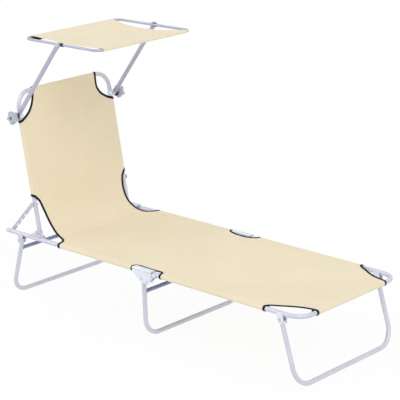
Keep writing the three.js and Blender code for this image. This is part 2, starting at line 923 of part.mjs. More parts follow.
// The canopy's cloth, with a sleeve on each cross tube and sides that draw in to the head
function canopyFabric() {
  const low = canopyShift - canopyLength / 2;
  const high = canopyShift + canopyLength / 2;
  const outer = canopyY - canopyFootInset;
  const edge = (side) => {
    const shape = new THREE.Shape();
    shape.moveTo(low - cutOverrun, side * (outer + cutOverrun));
    shape.lineTo(low - cutOverrun, side * (canopyY - canopyHeadInset));
    shape.lineTo(low, side * (canopyY - canopyHeadInset));
    shape.quadraticCurveTo(canopyShift, side * (canopyY - canopyMiddleInset), high, side * outer);
    shape.lineTo(high + cutOverrun, side * outer);
    shape.lineTo(high + cutOverrun, side * (outer + cutOverrun));
    return flatPlate(shape, -cutOverrun, cutOverrun);
  };
  return cut(
    join(
      block(low, high, -outer, outer, canopySnug, canopySnug + clothThickness),
      crossSleeve(low, outer, canopySnug),
      crossSleeve(high, outer, canopySnug),
    ),
    edge(1),
    edge(-1),
  );
}

function buildLounger() {
  const lounger = new THREE.Group();
  const bed = new THREE.Group();
  bed.position.set(-centreStation, 0, railHeight);
  lounger.add(bed);

  const rearLean = Math.atan2(rearLegBase - rearLegPivot, railHeight - legDrop - tubeRadius);
  const footLean = Math.atan2(footLegBase - footLegPivot, railHeight - legDrop - tubeRadius);
  const middle = pivotGroup(bed, seatLength, 0, 0);
  for (const [word, side] of sides) {
    add(bed, "seat_rail_" + word, mirrored(seatRail(), side), paintedTube);
    add(bed, "rail_cap_" + word, mirrored(railCap(), side), greyPlastic);
    const rearBracket = mirrored(legBracketWithBore(THREE.MathUtils.radToDeg(rearLean)), side);
    add(bed, "rear_leg_bracket_" + word, rearBracket, zincPlate).position.x = rearLegPivot;
    add(middle, "middle_hinge_bracket_" + word, mirrored(hingeBracket(), side), zincPlate);
    const pivot = add(bed, "back_pivot_bracket_" + word, mirrored(pivotBracket(), side), zincPlate);
    pivot.position.x = backPivot;
    const pin = add(bed, "rack_pin_" + word, mirrored(rackPin(), side), steelRivet);
    pin.position.set(rackPinStation, 0, rackPinRise);
    const earOut = backY + snug + plateThickness;
    const backPin = mirrored(headedPin(backY - tubeRadius, earOut, pinRadius), side);
    add(bed, "back_pivot_pin_" + word, backPin, steelRivet).position.set(backPivot, 0, backPivotRise);
    const hingePin = headedPin(railY - hingePlateOut, railY + hingePlateOut, pinRadius);
    add(middle, "middle_hinge_pin_" + word, mirrored(hingePin, side), steelRivet).position.z = -hingeDrop;
  }
  add(bed, "seat_fabric", seatFabric(), beigeFabric);

  const rear = addLeg(bed, "rear", rearLegPivot, rearLegBase, legDrop, 0, rearBarReach);
  addLegPins(rear, "rear", legPlateOut);
  const centre = addLeg(
    bed, "middle", middleLegPivot, middleLegBase, middleLegDrop, middleLegToe, middleBarReach,
  );
  addLegPins(centre, "middle", hingePlateOut);

  const foot = pivotGroup(bed, seatLength, 0, 0);
  add(foot, "foot_frame", footFrame(), paintedTube);
  add(foot, "foot_fabric", footFabric(), beigeFabric);
  for (const [word, side] of sides) {
    add(foot, "foot_hinge_bracket_" + word, mirrored(footBracket(), side), zincPlate);
    const bracket = mirrored(legBracketWithBore(THREE.MathUtils.radToDeg(footLean)), side);
    add(foot, "foot_leg_bracket_" + word, bracket, zincPlate).position.x = footLegPivot - seatLength;
  }
  const last = addLeg(bed, "foot", footLegPivot, footLegBase, legDrop, 0, 0);
  addLegPins(last, "foot", legPlateOut);

  const back = pivotGroup(bed, backPivot, backPivotRise, 180 - backLean);
  add(back, "back_frame", backFrame(), paintedTube);
  add(back, "back_fabric", backFabric(), beigeFabric);
  const rackTop = onBack(rackPivotReach, 0);
  const rackRun = at(rackPinStation, rackPinRise).sub(rackTop);
  const racks = pivotGroup(bed, rackTop.x, rackTop.y, THREE.MathUtils.radToDeg(rackRun.angle()));
  const knobAxis = onBack(clampReach, clampLead);
  const arms = pivotGroup(bed, knobAxis.x, knobAxis.y, armAngle);
  const canopy = pivotGroup(
    bed,
    knobAxis.x + armLength * Math.cos(toRadians(armAngle)),
    knobAxis.y + armLength * Math.sin(toRadians(armAngle)),
    canopyRise,
  );
  for (const [word, side] of sides) {
    add(back, "arm_clamp_" + word, mirrored(armClamp(), side), zincPlate).position.x = clampReach;
    add(back, "rack_bolt_" + word, mirrored(rackBolt(), side), steelRivet);
    add(racks, "rack_" + word, mirrored(rack(rackRun.length()), side), zincPlate);
    add(arms, "canopy_arm_" + word, mirrored(arm(), side), paintedTube);
    add(arms, "arm_washer_" + word, mirrored(washer(), side), blackPlastic);
    add(arms, "arm_rivet_" + word, mirrored(armRivet(), side), steelRivet).position.x = armLength;
    add(arms, "star_knob_" + word, mirrored(knob(), side), greyPlastic);
    add(canopy, "canopy_clip_" + word, mirrored(canopyClip(), side), blackPlastic);
  }
  add(canopy, "canopy_frame", canopyFrame(), paintedTube);
  add(canopy, "canopy_fabric", canopyFabric(), beigeFabric);
  return lounger;
}

export default buildLounger();
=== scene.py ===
"""A folding sun lounger with a canopy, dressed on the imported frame.

Shapes are worked out in millimetres and turned into metres when a piece is made.
Stations run along X from the rear end of the seat rails; heights are above the rail axis.
"""
import bisect
from math import acos, atan2, copysign, cos, degrees, exp, hypot, pi, radians, sin, sqrt, tan

import bmesh
import bpy
from mathutils import Matrix, Vector, noise


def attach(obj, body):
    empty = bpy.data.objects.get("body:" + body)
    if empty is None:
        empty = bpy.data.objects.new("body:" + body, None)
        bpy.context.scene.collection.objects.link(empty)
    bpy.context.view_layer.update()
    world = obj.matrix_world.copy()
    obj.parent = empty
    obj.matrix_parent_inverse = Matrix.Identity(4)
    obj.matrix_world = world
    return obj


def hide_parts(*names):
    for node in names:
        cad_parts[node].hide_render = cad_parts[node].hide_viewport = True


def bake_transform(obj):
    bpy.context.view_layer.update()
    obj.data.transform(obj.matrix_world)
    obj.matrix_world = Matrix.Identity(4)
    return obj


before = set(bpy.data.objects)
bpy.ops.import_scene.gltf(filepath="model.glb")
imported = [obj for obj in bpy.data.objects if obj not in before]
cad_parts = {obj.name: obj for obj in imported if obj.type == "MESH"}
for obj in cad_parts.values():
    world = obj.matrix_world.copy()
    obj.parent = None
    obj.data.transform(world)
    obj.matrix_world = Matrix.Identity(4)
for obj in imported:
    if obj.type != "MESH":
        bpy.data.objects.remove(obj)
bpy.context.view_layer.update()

# ---- sizes, in millimetres and degrees, as in the CAD model
MM = 0.001
CENTRE, RAIL_HEIGHT, GAP = 737.85, 263, 0.3
TUBE, TUBE_WALL, FRAME_BEND = 8.5, 1.0, 60
RAIL_Y, BACK_Y = 270.5, 239.8
SEAT_LENGTH, BED_LENGTH, BACK_LENGTH, BACK_END, BUTT_GAP = 765, 1468, 546, 10, 0.5
PLATE = 1.5
RIVET, PIN, HEAD, HEAD_HEIGHT = 2.5, 3.0, 5.0, 1.5
SNUG = TUBE + GAP
SADDLE = SNUG + PLATE
LEG_SNUG = 9.1
LEG_OUT = LEG_SNUG + PLATE
LEG_DROP, LEG_START, LEG_BEND, BAR = 20.5, 6.5, 70, 7.5
REAR_PIVOT, REAR_BASE, REAR_BAR = 83, 14.5, 39
MIDDLE_PIVOT, MIDDLE_BASE, MIDDLE_DROP, MIDDLE_TOE, MIDDLE_BAR = 738, 736.5, 25, 8, 54
FOOT_PIVOT, FOOT_BASE = 1382, 1453
CHEEK_HALF, CHEEK_RISE, CHEEK_DEPTH, STOP_START = 15, 3, 35, 8
HINGE_DROP, HINGE_BOSS, HINGE_IN, HINGE_OUT = 33, 8, 10.6, 12.1
HINGE_TAIL, HINGE_NOSE, HINGE_LEG = -75, 22, -27
FOOT_EAR, FOOT_EAR_START, FOOT_RIVET = 41, 9, 31
BACK_PIVOT, BACK_RISE, BACK_LEAN = 151, 13, 79.5
EAR_TAIL, EAR_NOSE, EAR_RADIUS, EAR_RIVETS = -22, 40, 10, (-12, 30)
RACK_REACH, RACK_PIN_X, RACK_PIN_Z, RACK_IN, RACK_OUT = 111, 18, 2, 253.5, 255.5
RACK_TOP, RACK_FLOOR, RACK_ROUND, RACK_END = 5, -11, 8, 9
NOTCHES, NOTCH_STEP = 4, 34
CLAMP_REACH, CLAMP_LEAD, CLAMP_OUT, CLAMP_HALF, CLAMP_WALL, CLAMP_BOSS = 458, 7, 253.6, 10, 2, 8
STUD_END, NUT_RADIUS, NUT_HEIGHT = 290, 6, 3
ARM_IN, ARM_OUT, ARM_LENGTH, ARM_WIDTH, ARM_ANGLE = 253.9, 262.9, 386, 17.5, 52.5
ARM_STRAIGHT, ARM_BEND, ARM_CONVERGE = 22, 350, 3.7
TONGUE_START, TONGUE_IN, TONGUE_OUT, TONGUE_RADIUS = 368, 251.9, 254.7, 10.5
WASHER_IN, WASHER_OUT, WASHER_HOLE, WASHER_RADIUS, KNOB_IN = 263.2, 265.2, 3.3, 16, 265.5
KNOB_HEAD, KNOB_LENGTH, KNOB_LOBE, KNOB_LOBES, KNOB_SIDES = 8, 30, 4.4, 5, 100
CANOPY_TUBE, CANOPY_WALL, CANOPY_Y, CANOPY_BEND, CANOPY_RISE = 5, 0.8, 244.6, 30, 0.5
CANOPY_LOW, CANOPY_HIGH = -191, 199
CLIP_TAIL, CLIP_NOSE, CLIP_IN, CLIP_OUT = -8, 20, 5.3, 7
# The cloths: how thick, and how far their middle lies from a tube's axis
CLOTH, CLOTH_LEAD = 0.8, 9.25
CANOPY_CLOTH, CANOPY_LEAD = 0.7, 5.75
HEM, POCKET, CANOPY_HEM = 24, 50, 18
BINDING_HALF, BINDING_RISE = 5.2, 2.1

def vec(*place):
    return Vector(place)


def moved(x=0.0, z=0.0, y=0.0):
    return Matrix.Translation((x, y, z))


def rotated(angle, axis="Y"):
    return Matrix.Rotation(radians(angle), 4, axis)


UP = vec(0, 0, 1)
BED = moved(-CENTRE, RAIL_HEIGHT)
MIDDLE = BED @ moved(SEAT_LENGTH)


def pivot_frame(x, z, angle):
    """The frame of a pivot in the bed, whose +X points up by the angle."""
    return BED @ moved(x, z) @ rotated(-angle)


LEAN = radians(BACK_LEAN)
DOWN_BACK = vec(cos(LEAN), 0, -sin(LEAN))
OFF_BACK = vec(sin(LEAN), 0, cos(LEAN))
BACK = pivot_frame(BACK_PIVOT, BACK_RISE, 180 - BACK_LEAN)


def on_back(reach, lead):
    """The station and height of a point up the backrest, in front of its tubes by the lead."""
    point = vec(BACK_PIVOT, 0, BACK_RISE) - DOWN_BACK * reach + OFF_BACK * lead
    return point.x, point.z


# ---- materials
class Nodes:
    """Adds nodes to a material or a world and links them."""

    def __init__(self, owner):
        owner.use_nodes = True
        self.tree = owner.node_tree

    def node(self, kind, values=(), **settings):
        made = self.tree.nodes.new("ShaderNode" + kind)
        for key, value in settings.items():
            setattr(made, key, value)
        return self.fill(made, values)

    def fill(self, made, values):
        for key, value in dict(values).items():
            if isinstance(value, bpy.types.NodeSocket):
                self.tree.links.new(value, made.inputs[key])
            else:
                made.inputs[key].default_value = value
        return made

    def math(self, operation, a, b):
        return self.node("Math", {0: a, 1: b}, operation=operation).outputs[0]

    def seen(self):
        """1 for the rays that see the white background."""
        rays = self.node("LightPath").outputs
        total = rays["Is Camera Ray"]
        for name in ("Is Glossy Ray", "Is Transmission Ray"):
            total = self.math("MAXIMUM", total, rays[name])
        return total

    def show(self, output, share, first, second):
        """Mixes two shaders into an output."""
        mix = self.node("MixShader", {0: share, 1: first.outputs[0], 2: second.outputs[0]})
        self.fill(self.tree.nodes[output], {"Surface": mix.outputs[0]})


class Paint(Nodes):
    """A procedural material, whose helpers feed its shader."""

    def __init__(self, name, values):
        self.material = bpy.data.materials.new(name)
        super().__init__(self.material)
        self.shader = self.fill(self.tree.nodes["Principled BSDF"], values)
        self.coords = self.node("TexCoord").outputs

    def noise(self, scale, detail=2.0, coords=None, stretch=(1, 1, 1)):
        spread = self.node("Mapping", {"Vector": coords or self.coords["Object"], "Scale": stretch})
        values = {"Vector": spread.outputs[0], "Scale": scale, "Detail": detail}
        return self.node("TexNoise", values).outputs[0]

    def ramp(self, factor, low, high, colours):
        made = self.node("ValToRGB", {0: factor})
        for stop, place, colour in zip(made.color_ramp.elements, (low, high), colours):
            stop.position = place
            stop.color = (*colour, 1)
        return made.outputs[0]

    def times(self, share, a, b):
        """A colour darkened by a second one."""
        return self.node("Mix", {0: share, 6: a, 7: b}, data_type="RGBA", blend_type="MULTIPLY").outputs[2]

    def gloss(self, factor, low, high):
        """Lets the roughness run between two values with the factor."""
        made = self.node("MapRange", {0: factor, 3: low, 4: high})
        self.fill(self.shader, {"Roughness": made.outputs[0]})

    def colour(self, value):
        self.fill(self.shader, {"Base Color": value})

    def bump(self, height, strength, distance, **under):
        values = {"Height": height, "Strength": strength, "Distance": distance, **under}
        made = self.node("Bump", values).outputs[0]
        self.fill(self.shader, {"Normal": made})
        return made


def metal(name, light, dark, roughness, metallic, grain, spread=0.09):
    """Coated metal: cloudy colour, uneven gloss, fine grain and a little wear."""
    paint = Paint(name, {"Roughness": roughness, "Metallic": metallic})
    base = paint.ramp(paint.noise(14, 4), 0.32, 0.7, (dark, light))
    worn = paint.ramp(paint.noise(grain * 0.35, 6), 0.62, 0.74, ((1, 1, 1), (0.78, 0.79, 0.82)))
    paint.colour(paint.times(0.6, base, worn))
    paint.gloss(paint.noise(60, 5), roughness - spread, roughness + spread)
    paint.bump(paint.noise(grain, 3), 0.12, 0.0004)
    return paint.material


def plastic(name, light, dark, roughness):
    """Moulded plastic: faint flow marks and a fine grain."""
    paint = Paint(name, {"Roughness": roughness})
    paint.colour(paint.ramp(paint.noise(35, 3), 0.3, 0.7, (dark, light)))
    paint.gloss(paint.noise(90, 3), roughness - 0.08, roughness + 0.08)
    paint.bump(paint.noise(1900, 2), 0.25, 0.0003)
    return paint.material


def weave(name, light, dark, pitch, roughness):
    """Plain-woven cloth in UV metres: crossing yarns, slubs, soft shades and puckers."""
    sheen = {"Sheen Weight": 0.12, "Sheen Roughness": 0.5}
    paint = Paint(name, {"Roughness": roughness, "Specular IOR Level": 0.25, **sheen})
    cloth = paint.coords["UV"]
    parts = paint.node("SeparateXYZ", {0: cloth}).outputs
    across, down = (paint.math("SINE", paint.math("MULTIPLY", parts[i], pi / pitch), 0) for i in (0, 1))
    slub = paint.noise(420, 3, cloth, (1, 0.06, 1))
    slubs = paint.math("ADD", slub, paint.noise(420, 3, cloth, (0.06, 1, 1)))
    cross = paint.math("MULTIPLY", paint.math("MULTIPLY", across, down), 0.5)
    height = paint.math("ADD", cross, slubs)
    shade = paint.node("MapRange", {0: height, 1: 0.2, 2: 1.8, 3: 0.0, 4: 1.0}).outputs[0]
    cloud = paint.ramp(paint.noise(5, 4, cloth), 0.3, 0.75, ((0.955, 0.95, 0.94), (1, 1, 1)))
    paint.colour(paint.times(1.0, paint.ramp(shade, 0.1, 0.75, (dark, light)), cloud))
    paint.gloss(slub, roughness - 0.05, roughness + 0.06)
    pucker = paint.bump(paint.noise(34, 4, cloth), 0.3, 0.004)
    paint.bump(height, 0.35, 0.0004, Normal=pucker)
    return paint.material


def twisted(name, light, dark, scale):
    """Thread or binding tape: fine slanting yarns."""
    paint = Paint(name, {"Roughness": 0.8, "Sheen Weight": 0.08, "Specular IOR Level": 0.2})
    yarns = paint.noise(scale, 2, None, (1, 0.35, 1.6))
    paint.colour(paint.ramp(yarns, 0.35, 0.65, (dark, light)))
    paint.gloss(yarns, 0.7, 0.9)
    paint.bump(yarns, 0.5, 0.0005)
    return paint.material


LOOKS = {
    "painted_tube": metal("satin_silver", (0.70, 0.70, 0.79), (0.64, 0.64, 0.74), 0.43, 0.5, 1300),
    # A darker, bluer copy of the tube paint for the canopy arms and the canopy tube: painted shade.
    "shaded_tube": metal("silver_with_painted_shade", (0.52, 0.52, 0.65), (0.46, 0.46, 0.59), 0.4, 0.5, 1300),
    "zinc_plate": metal("zinc_plated", (0.84, 0.88, 0.95), (0.74, 0.79, 0.88), 0.3, 0.6, 700),
    # A darker, slightly rougher copy of the zinc plate for the racks: the darker colour is painted shade.
    "dull_shaded_zinc": metal("dull_shaded_zinc", (0.60, 0.63, 0.69), (0.49, 0.52, 0.59), 0.38, 0.6, 700),
    # A greyer, darker copy of the zinc plate for the backrest's pivot brackets and the rear leg brackets:
    # painted shade.
    "grey_shaded_zinc": metal("grey_shaded_zinc", (0.73, 0.74, 0.81), (0.66, 0.67, 0.75), 0.42, 0.55, 800),
    "steel_rivet": metal("rivet_steel", (0.66, 0.68, 0.75), (0.52, 0.54, 0.62), 0.26, 0.85, 900),
    "grey_plastic": plastic("grey_moulding", (0.51, 0.54, 0.63), (0.45, 0.48, 0.57), 0.5),
    "black_plastic": plastic("black_moulding", (0.02, 0.021, 0.027), (0.012, 0.013, 0.018), 0.42),
    # A dark slate-blue copy of the tube paint for the crossbars: painted shade from the bed above them and
    # painted dark reflections.
    "shaded_bar": metal("slate_painted_shade_and_reflection", (0.27, 0.32, 0.53), (0.20, 0.24, 0.43), 0.25, 0.85, 1300, 0.05),
    "beige_fabric": weave("cream_weave", (0.925, 0.825, 0.61), (0.845, 0.74, 0.53), 0.0011, 0.86),
    "navy_piping": twisted("navy_binding", (0.010, 0.011, 0.024), (0.004, 0.005, 0.012), 1500),
    "thread": twisted("cream_thread", (0.9, 0.83, 0.67), (0.7, 0.62, 0.47), 2600),
}


# ---- shapes
class Form:
    """Points in millimetres and the faces between them."""

    def __init__(self, points=(), faces=()):
        self.points, self.faces = [], []
        self.add(points, faces)

    def add(self, points, faces):
        first = len(self.points)
        self.points += [Vector(p) for p in points]
        self.faces += [[first + i for i in face] for face in faces]

    def join(self, *others, matrix=Matrix()):
        for other in others:
            self.add([matrix @ p for p in other.points], other.faces)
        return self


def skin(rings, cyclic=False):
    """A skin over rings of equally many points, with flat ends or joined end to end."""
    size, count = len(rings[0]), len(rings)
    faces = []
    for i in range(count if cyclic else count - 1):
        a, b = i * size, (i + 1) % count * size
        faces += [[a + j, a + (j + 1) % size, b + (j + 1) % size, b + j] for j in range(size)]
    if not cyclic:
        faces += [list(range(size))[::-1], list(range((count - 1) * size, count * size))]
    return Form([p for ring in rings for p in ring], faces)


def turns(count):
    """The angles of equal steps round a circle."""
    return [2 * pi * i / count for i in range(count)]


def bent_path(corners, bend, steps=12):
    """Points and tangents along straight runs and round bends."""
    corners = [Vector(c) for c in corners]
    path = [(corners[0], (corners[1] - corners[0]).normalized())]
    for last, corner, following in zip(corners, corners[1:], corners[2:]):
        before, after = (corner - last).normalized(), (following - corner).normalized()
        axis = before.cross(after).normalized()
        turn = before.angle(after)
        inward = axis.cross(before)
        centre = corner - before * bend * tan(turn / 2) + inward * bend
        for step in range(steps + 1):
            spin = Matrix.Rotation(turn * step / steps, 3, axis)
            path.append((centre - spin @ inward * bend, spin @ before))
    return path + [(corners[-1], (corners[-1] - corners[-2]).normalized())]


def circle(centre, a, b, radius, sides):
    return [centre + (a * cos(t) + b * sin(t)) * radius for t in turns(sides)]


def tube(corners, bend, radius, wall, sides=24, edge=0.35):
    """A hollow tube with eased ends, in the local XY plane."""
    path = bent_path(corners, bend)

    def ring(station, size, slide=0.0):
        point, tangent = station
        return circle(point + tangent * slide, UP.cross(tangent), UP, size, sides)

    first, last = path[0], path[-1]
    rings = [ring(first, radius - edge), ring(first, radius, edge)]
    rings += [ring(station, radius) for station in path[1:-1]]
    rings += [ring(last, radius, -edge), ring(last, radius - edge)]
    rings += [ring(station, radius - wall) for station in reversed(path)]
    return skin(rings, cyclic=True)


def u_tube(start, end, half, toe=0, bend=FRAME_BEND):
    """A U of frame tube, whose far corners stand closer by the toe on each side."""
    near = half - toe
    corners = [(start, -half, 0), (end, -near, 0), (end, near, 0), (start, half, 0)]
    return tube(corners, bend, TUBE, TUBE_WALL)


def turned(profile, x=0.0, z=0.0, sides=24):
    """A round piece about a line along Y, from pairs of place and radius."""
    return skin([circle(vec(x, y, z), vec(1, 0, 0), UP, r, sides) for y, r in profile])


def dome(y, way, radius, height, steps=6):
    """The profile of a domed head that rises from y."""
    rises = [pi / 2 * step / steps for step in range(steps + 1)]
    return [(y + way * height * sin(t), max(radius * cos(t) ** 0.7, 0.2)) for t in rises]


def headed_pin(start, end, radius, x=0.0, z=0.0, head=HEAD, height=HEAD_HEIGHT):
    profile = dome(start, -1, head, height)[::-1] + [(start, radius), (end, radius)]
    return turned(profile + dome(end, 1, head, height), x, z)


def cross_pin(half, *rest):
    """A pin through the rail, between faces at the same distance on both sides."""
    return headed_pin(RAIL_Y - half, RAIL_Y + half, *rest)


def rounded(corners, radius, steps=4, closed=True):
    """A polygon or line with each corner drawn round."""
    radii = radius if isinstance(radius, list) else [radius] * len(corners)
    corners = [Vector(c) for c in corners]
    line = []
    for i, corner in enumerate(corners):
        if not closed and i in (0, len(corners) - 1) or radii[i] == 0:
            line.append(corner)
            continue
        before = corners[i - 1] - corner
        after = corners[(i + 1) % len(corners)] - corner
        reach = min(radii[i] / tan(before.angle(after) / 2), before.length * 0.45, after.length * 0.45)
        start, end = corner + before.normalized() * reach, corner + after.normalized() * reach
        for step in range(steps + 1):
            t = step / steps
            line.append(start * (1 - t) ** 2 + corner * 2 * t * (1 - t) + end * t * t)
    return line


def shifted(line, distance, closed=True):
    """The line moved to its left by a distance, with mitred corners."""
    made = []
    for i, point in enumerate(line):
        before = point - line[i - 1] if closed or i else line[1] - point
        after = line[(i + 1) % len(line)] - point if closed or i < len(line) - 1 else before
        a, b = before.normalized(), after.normalized()
        left, right = vec(-a.y, a.x), vec(-b.y, b.x)
        made.append(point + (left + right) * (distance / max(1 + left.dot(right), 0.3)))
    return made


def plate(outline, low, high, axis="Y", edge=0.25, steps=1):
    """A plate with eased edges between two places along an axis, outlined in the others."""
    outline = [Vector(p) for p in outline]
    if sum(a.cross(b) for a, b in zip(outline, outline[1:] + outline[:1])) < 0:
        outline.reverse()
    place = {
        "X": lambda p, d: vec(d, p.x, p.y),
        "Y": lambda p, d: vec(p.x, d, p.y),
        "Z": lambda p, d: vec(p.x, p.y, d),
    }[axis]
    easing = [pi / 2 * step / steps for step in range(steps + 1)]
    rises = [(edge * (1 - sin(t)), edge * (1 - cos(t))) for t in easing]
    levels = [(inset, low + rise) for inset, rise in rises]
    levels += [(inset, high - rise) for inset, rise in reversed(rises)]
    return skin([[place(p, d) for p in shifted(outline, inset)] for inset, d in levels])


def cheeks(outline, inner):
    """Two plates beside the rail, with their inner faces that far from its axis."""
    return Form().join(*(plate(outline, RAIL_Y + y, RAIL_Y + y + PLATE) for y in (inner, -inner - PLATE)))


def bent_sheet(line, low, high):
    """Sheet metal that follows a line, between two stations."""
    return plate(line + shifted(line, PLATE, closed=False)[::-1], low, high, "X", 0.2)


def sweep(samples, half_width, half_height, sides=10):
    """An oval cord along points that each have a surface normal."""
    rings = []
    for i, (point, normal) in enumerate(samples):
        ahead = samples[min(i + 1, len(samples) - 1)][0] - samples[max(i - 1, 0)][0]
        across = ahead.cross(normal).normalized()
        lift = across.cross(ahead).normalized()
        rings.append([
            point + across * half_width * cos(t) + lift * half_height * sin(t) for t in turns(sides)
        ])
    return skin(rings)


def placed(name, data):
    obj = bpy.data.objects.new(name, data)
    bpy.context.scene.collection.objects.link(obj)
    return obj


def dressed(name, mesh, look):
    obj = placed(name, mesh)
    mesh.materials.append(LOOKS[look])
    return obj


def mesh_of(name, form, matrix, sharp=40):
    mesh = bpy.data.meshes.new(name)
    mesh.from_pydata([(matrix @ p) * MM for p in form.points], [], form.faces)
    body = bmesh.new()
    body.from_mesh(mesh)
    bmesh.ops.remove_doubles(body, verts=body.verts, dist=1e-6)
    bmesh.ops.recalc_face_normals(body, faces=body.faces)
    body.to_mesh(mesh)
    body.free()
    mesh.shade_smooth()
    mesh.set_sharp_from_angle(angle=radians(sharp))
    return mesh


def piece(name, form, matrix, look, body, *nodes):
    """A rigid piece that rides on a body and may stand for CAD nodes."""
    obj = dressed(name, mesh_of(name, form, matrix), look)
    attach(obj, body)
    if nodes:
        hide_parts(*nodes)
    return obj


def pair(name, form, matrix, look, body="seat_frame", extra=False):
    """The near and the far one of a mirrored piece, each for a CAD node unless it is extra."""
    for word, side in (("near", -1), ("far", 1)):
        mirrored = matrix @ Matrix.Scale(side, 4, (0, 1, 0))
        names = [f"{name}_{word}"] if extra else [f"{name}_piece_{word}", f"{name}_{word}"]
        piece(names[0], form, mirrored, look, body.format(word), *names[1:])


# ---- frames
def seat_rails():
    rail = tube([(0, RAIL_Y, 0), (SEAT_LENGTH - BUTT_GAP, RAIL_Y, 0)], FRAME_BEND, TUBE, TUBE_WALL)
    pair("seat_rail", rail, BED, "painted_tube")
    cap = [(-2.3, 0.5), (-2.2, 5), (-1.7, 7.4), (-0.9, 8.4), (-0.3, 8.5), (-0.3, 7.2), (11, 7), (12, 6.4)]
    rings = [circle(vec(x, RAIL_Y, 0), vec(0, 1, 0), UP, r, 28) for x, r in cap]
    pair("rail_cap", skin(rings), BED, "grey_plastic")


def leg(name, pivot, base, drop, plate_out, toe=0, bar=0):
    """A U-shaped leg with its rivets and any welded crossbar. Gives its lean in degrees."""
    fall = RAIL_HEIGHT - drop - TUBE
    reach = hypot(base - pivot, fall)
    lean = degrees(atan2(base - pivot, fall))
    place = pivot_frame(pivot, -drop, lean - 90)
    body = name + "_legs"
    form = u_tube(-LEG_START, reach, RAIL_Y, toe, LEG_BEND)
    piece(name + "_leg_tube", form, place, "painted_tube", body, name + "_leg_frame")
    if bar:
        half = RAIL_Y - toe * bar / reach - TUBE + 0.6
        form = tube([(bar, -half, 0), (bar, half, 0)], FRAME_BEND, BAR, TUBE_WALL)
        for end in (half - 1.2, 1.2 - half):
            bead = [(-1.6, 7.4), (-1.2, 8.2), (0, 8.6), (1.2, 8.4), (1.6, 7.4)]
            form.join(turned([(end + y, r) for y, r in bead], bar))
        # The crossbar wears the dark copy of the tube paint, which paints in its shade and dark
        # reflections.
        piece(name + "_leg_bar", form, place, "shaded_bar", body, name + "_leg_crossbar")
    pair(name + "_leg_rivet", cross_pin(plate_out + GAP, PIN), place, "steel_rivet", body)
    return lean


def leg_bracket(name, pivot, lean, look, body):
    """Two cheeks that hug rail and leg, tied by a stop strip and a rivet."""
    half, depth = CHEEK_HALF, CHEEK_DEPTH
    slide = depth * tan(radians(lean))
    if lean < 0:
        lower = [(half + slide, -depth), (slide - half / 2, -depth), (-half, -TUBE)]
    else:
        lower = [(half, -TUBE), (slide + half / 2, -depth), (slide - half, -depth)]
    form = cheeks(rounded([(-half, CHEEK_RISE), (half, CHEEK_RISE)] + lower, 4), LEG_SNUG)
    end = (LEG_DROP - depth) / cos(radians(lean))
    x0, x1 = sorted((copysign(LEG_SNUG, lean), copysign(LEG_OUT, lean)))
    strip = [(x0, end), (x1, end), (x1, -STOP_START), (x0, -STOP_START)]
    along_leg = moved(z=-LEG_DROP) @ rotated(-lean)
    form.join(plate(strip, RAIL_Y - LEG_OUT, RAIL_Y + LEG_OUT), matrix=along_leg)
    form.join(cross_pin(LEG_OUT, RIVET))
    pair(name, form, BED @ moved(pivot), look, body)


def hinge_brackets():
    """A channel over the rail ends with two ears below, which carry both pivots."""
    depth, fold = HINGE_DROP + HINGE_BOSS, 4.4
    shell = rounded([(-HINGE_OUT, fold), (-HINGE_OUT, SADDLE), (HINGE_OUT, SADDLE), (HINGE_OUT, fold)],
                    [0, 3.2, 3.2, 0], 5, closed=False)
    form = bent_sheet([vec(p.x + RAIL_Y, p.y) for p in shell][::-1], HINGE_TAIL, HINGE_NOSE)
    ear = [(HINGE_TAIL, fold - 0.9), (HINGE_NOSE, fold - 0.9), (HINGE_NOSE, -TUBE), (HINGE_BOSS, -depth),
           (HINGE_LEG, -depth), (HINGE_LEG - 15, -depth + HINGE_BOSS), (HINGE_TAIL, -TUBE / 2)]
    form.join(cheeks(rounded(ear, [0, 0, 4, 7, 7, 8, 4]), HINGE_IN))
    form.join(cross_pin(HINGE_OUT, RIVET, -24), cross_pin(HINGE_OUT, RIVET, -62, -1, 3.6, 1.2))
    pair("middle_hinge_bracket", form, MIDDLE, "zinc_plate")
    pin = cross_pin(HINGE_OUT + GAP, PIN, 0, -HINGE_DROP)
    pair("middle_hinge_pin", pin, MIDDLE, "steel_rivet")


def foot_brackets():
    """The foot section's half of the joint: a saddle with two ears."""
    ear = [(-8, -33), (-4, -40.7), (4, -40.7), (8, -33), (FOOT_EAR - FOOT_EAR_START, -SADDLE),
           (FOOT_EAR, -SADDLE), (FOOT_EAR, CHEEK_RISE), (FOOT_EAR_START, CHEEK_RISE), (-4, -25)]
    form = cheeks(rounded(ear, [4, 4, 4, 3, 5, 2, 3, 3, 4]), SNUG)
    start, low, high = FOOT_EAR_START + 8, RAIL_Y - SADDLE, RAIL_Y + SADDLE
    floor = [(start, low), (FOOT_EAR, low), (FOOT_EAR, high), (start, high)]
    form.join(plate(rounded(floor, 1.5), -SADDLE, -SNUG, "Z"), cross_pin(SADDLE, RIVET, FOOT_RIVET))
    pair("foot_hinge_bracket", form, MIDDLE, "zinc_plate", "foot_section")


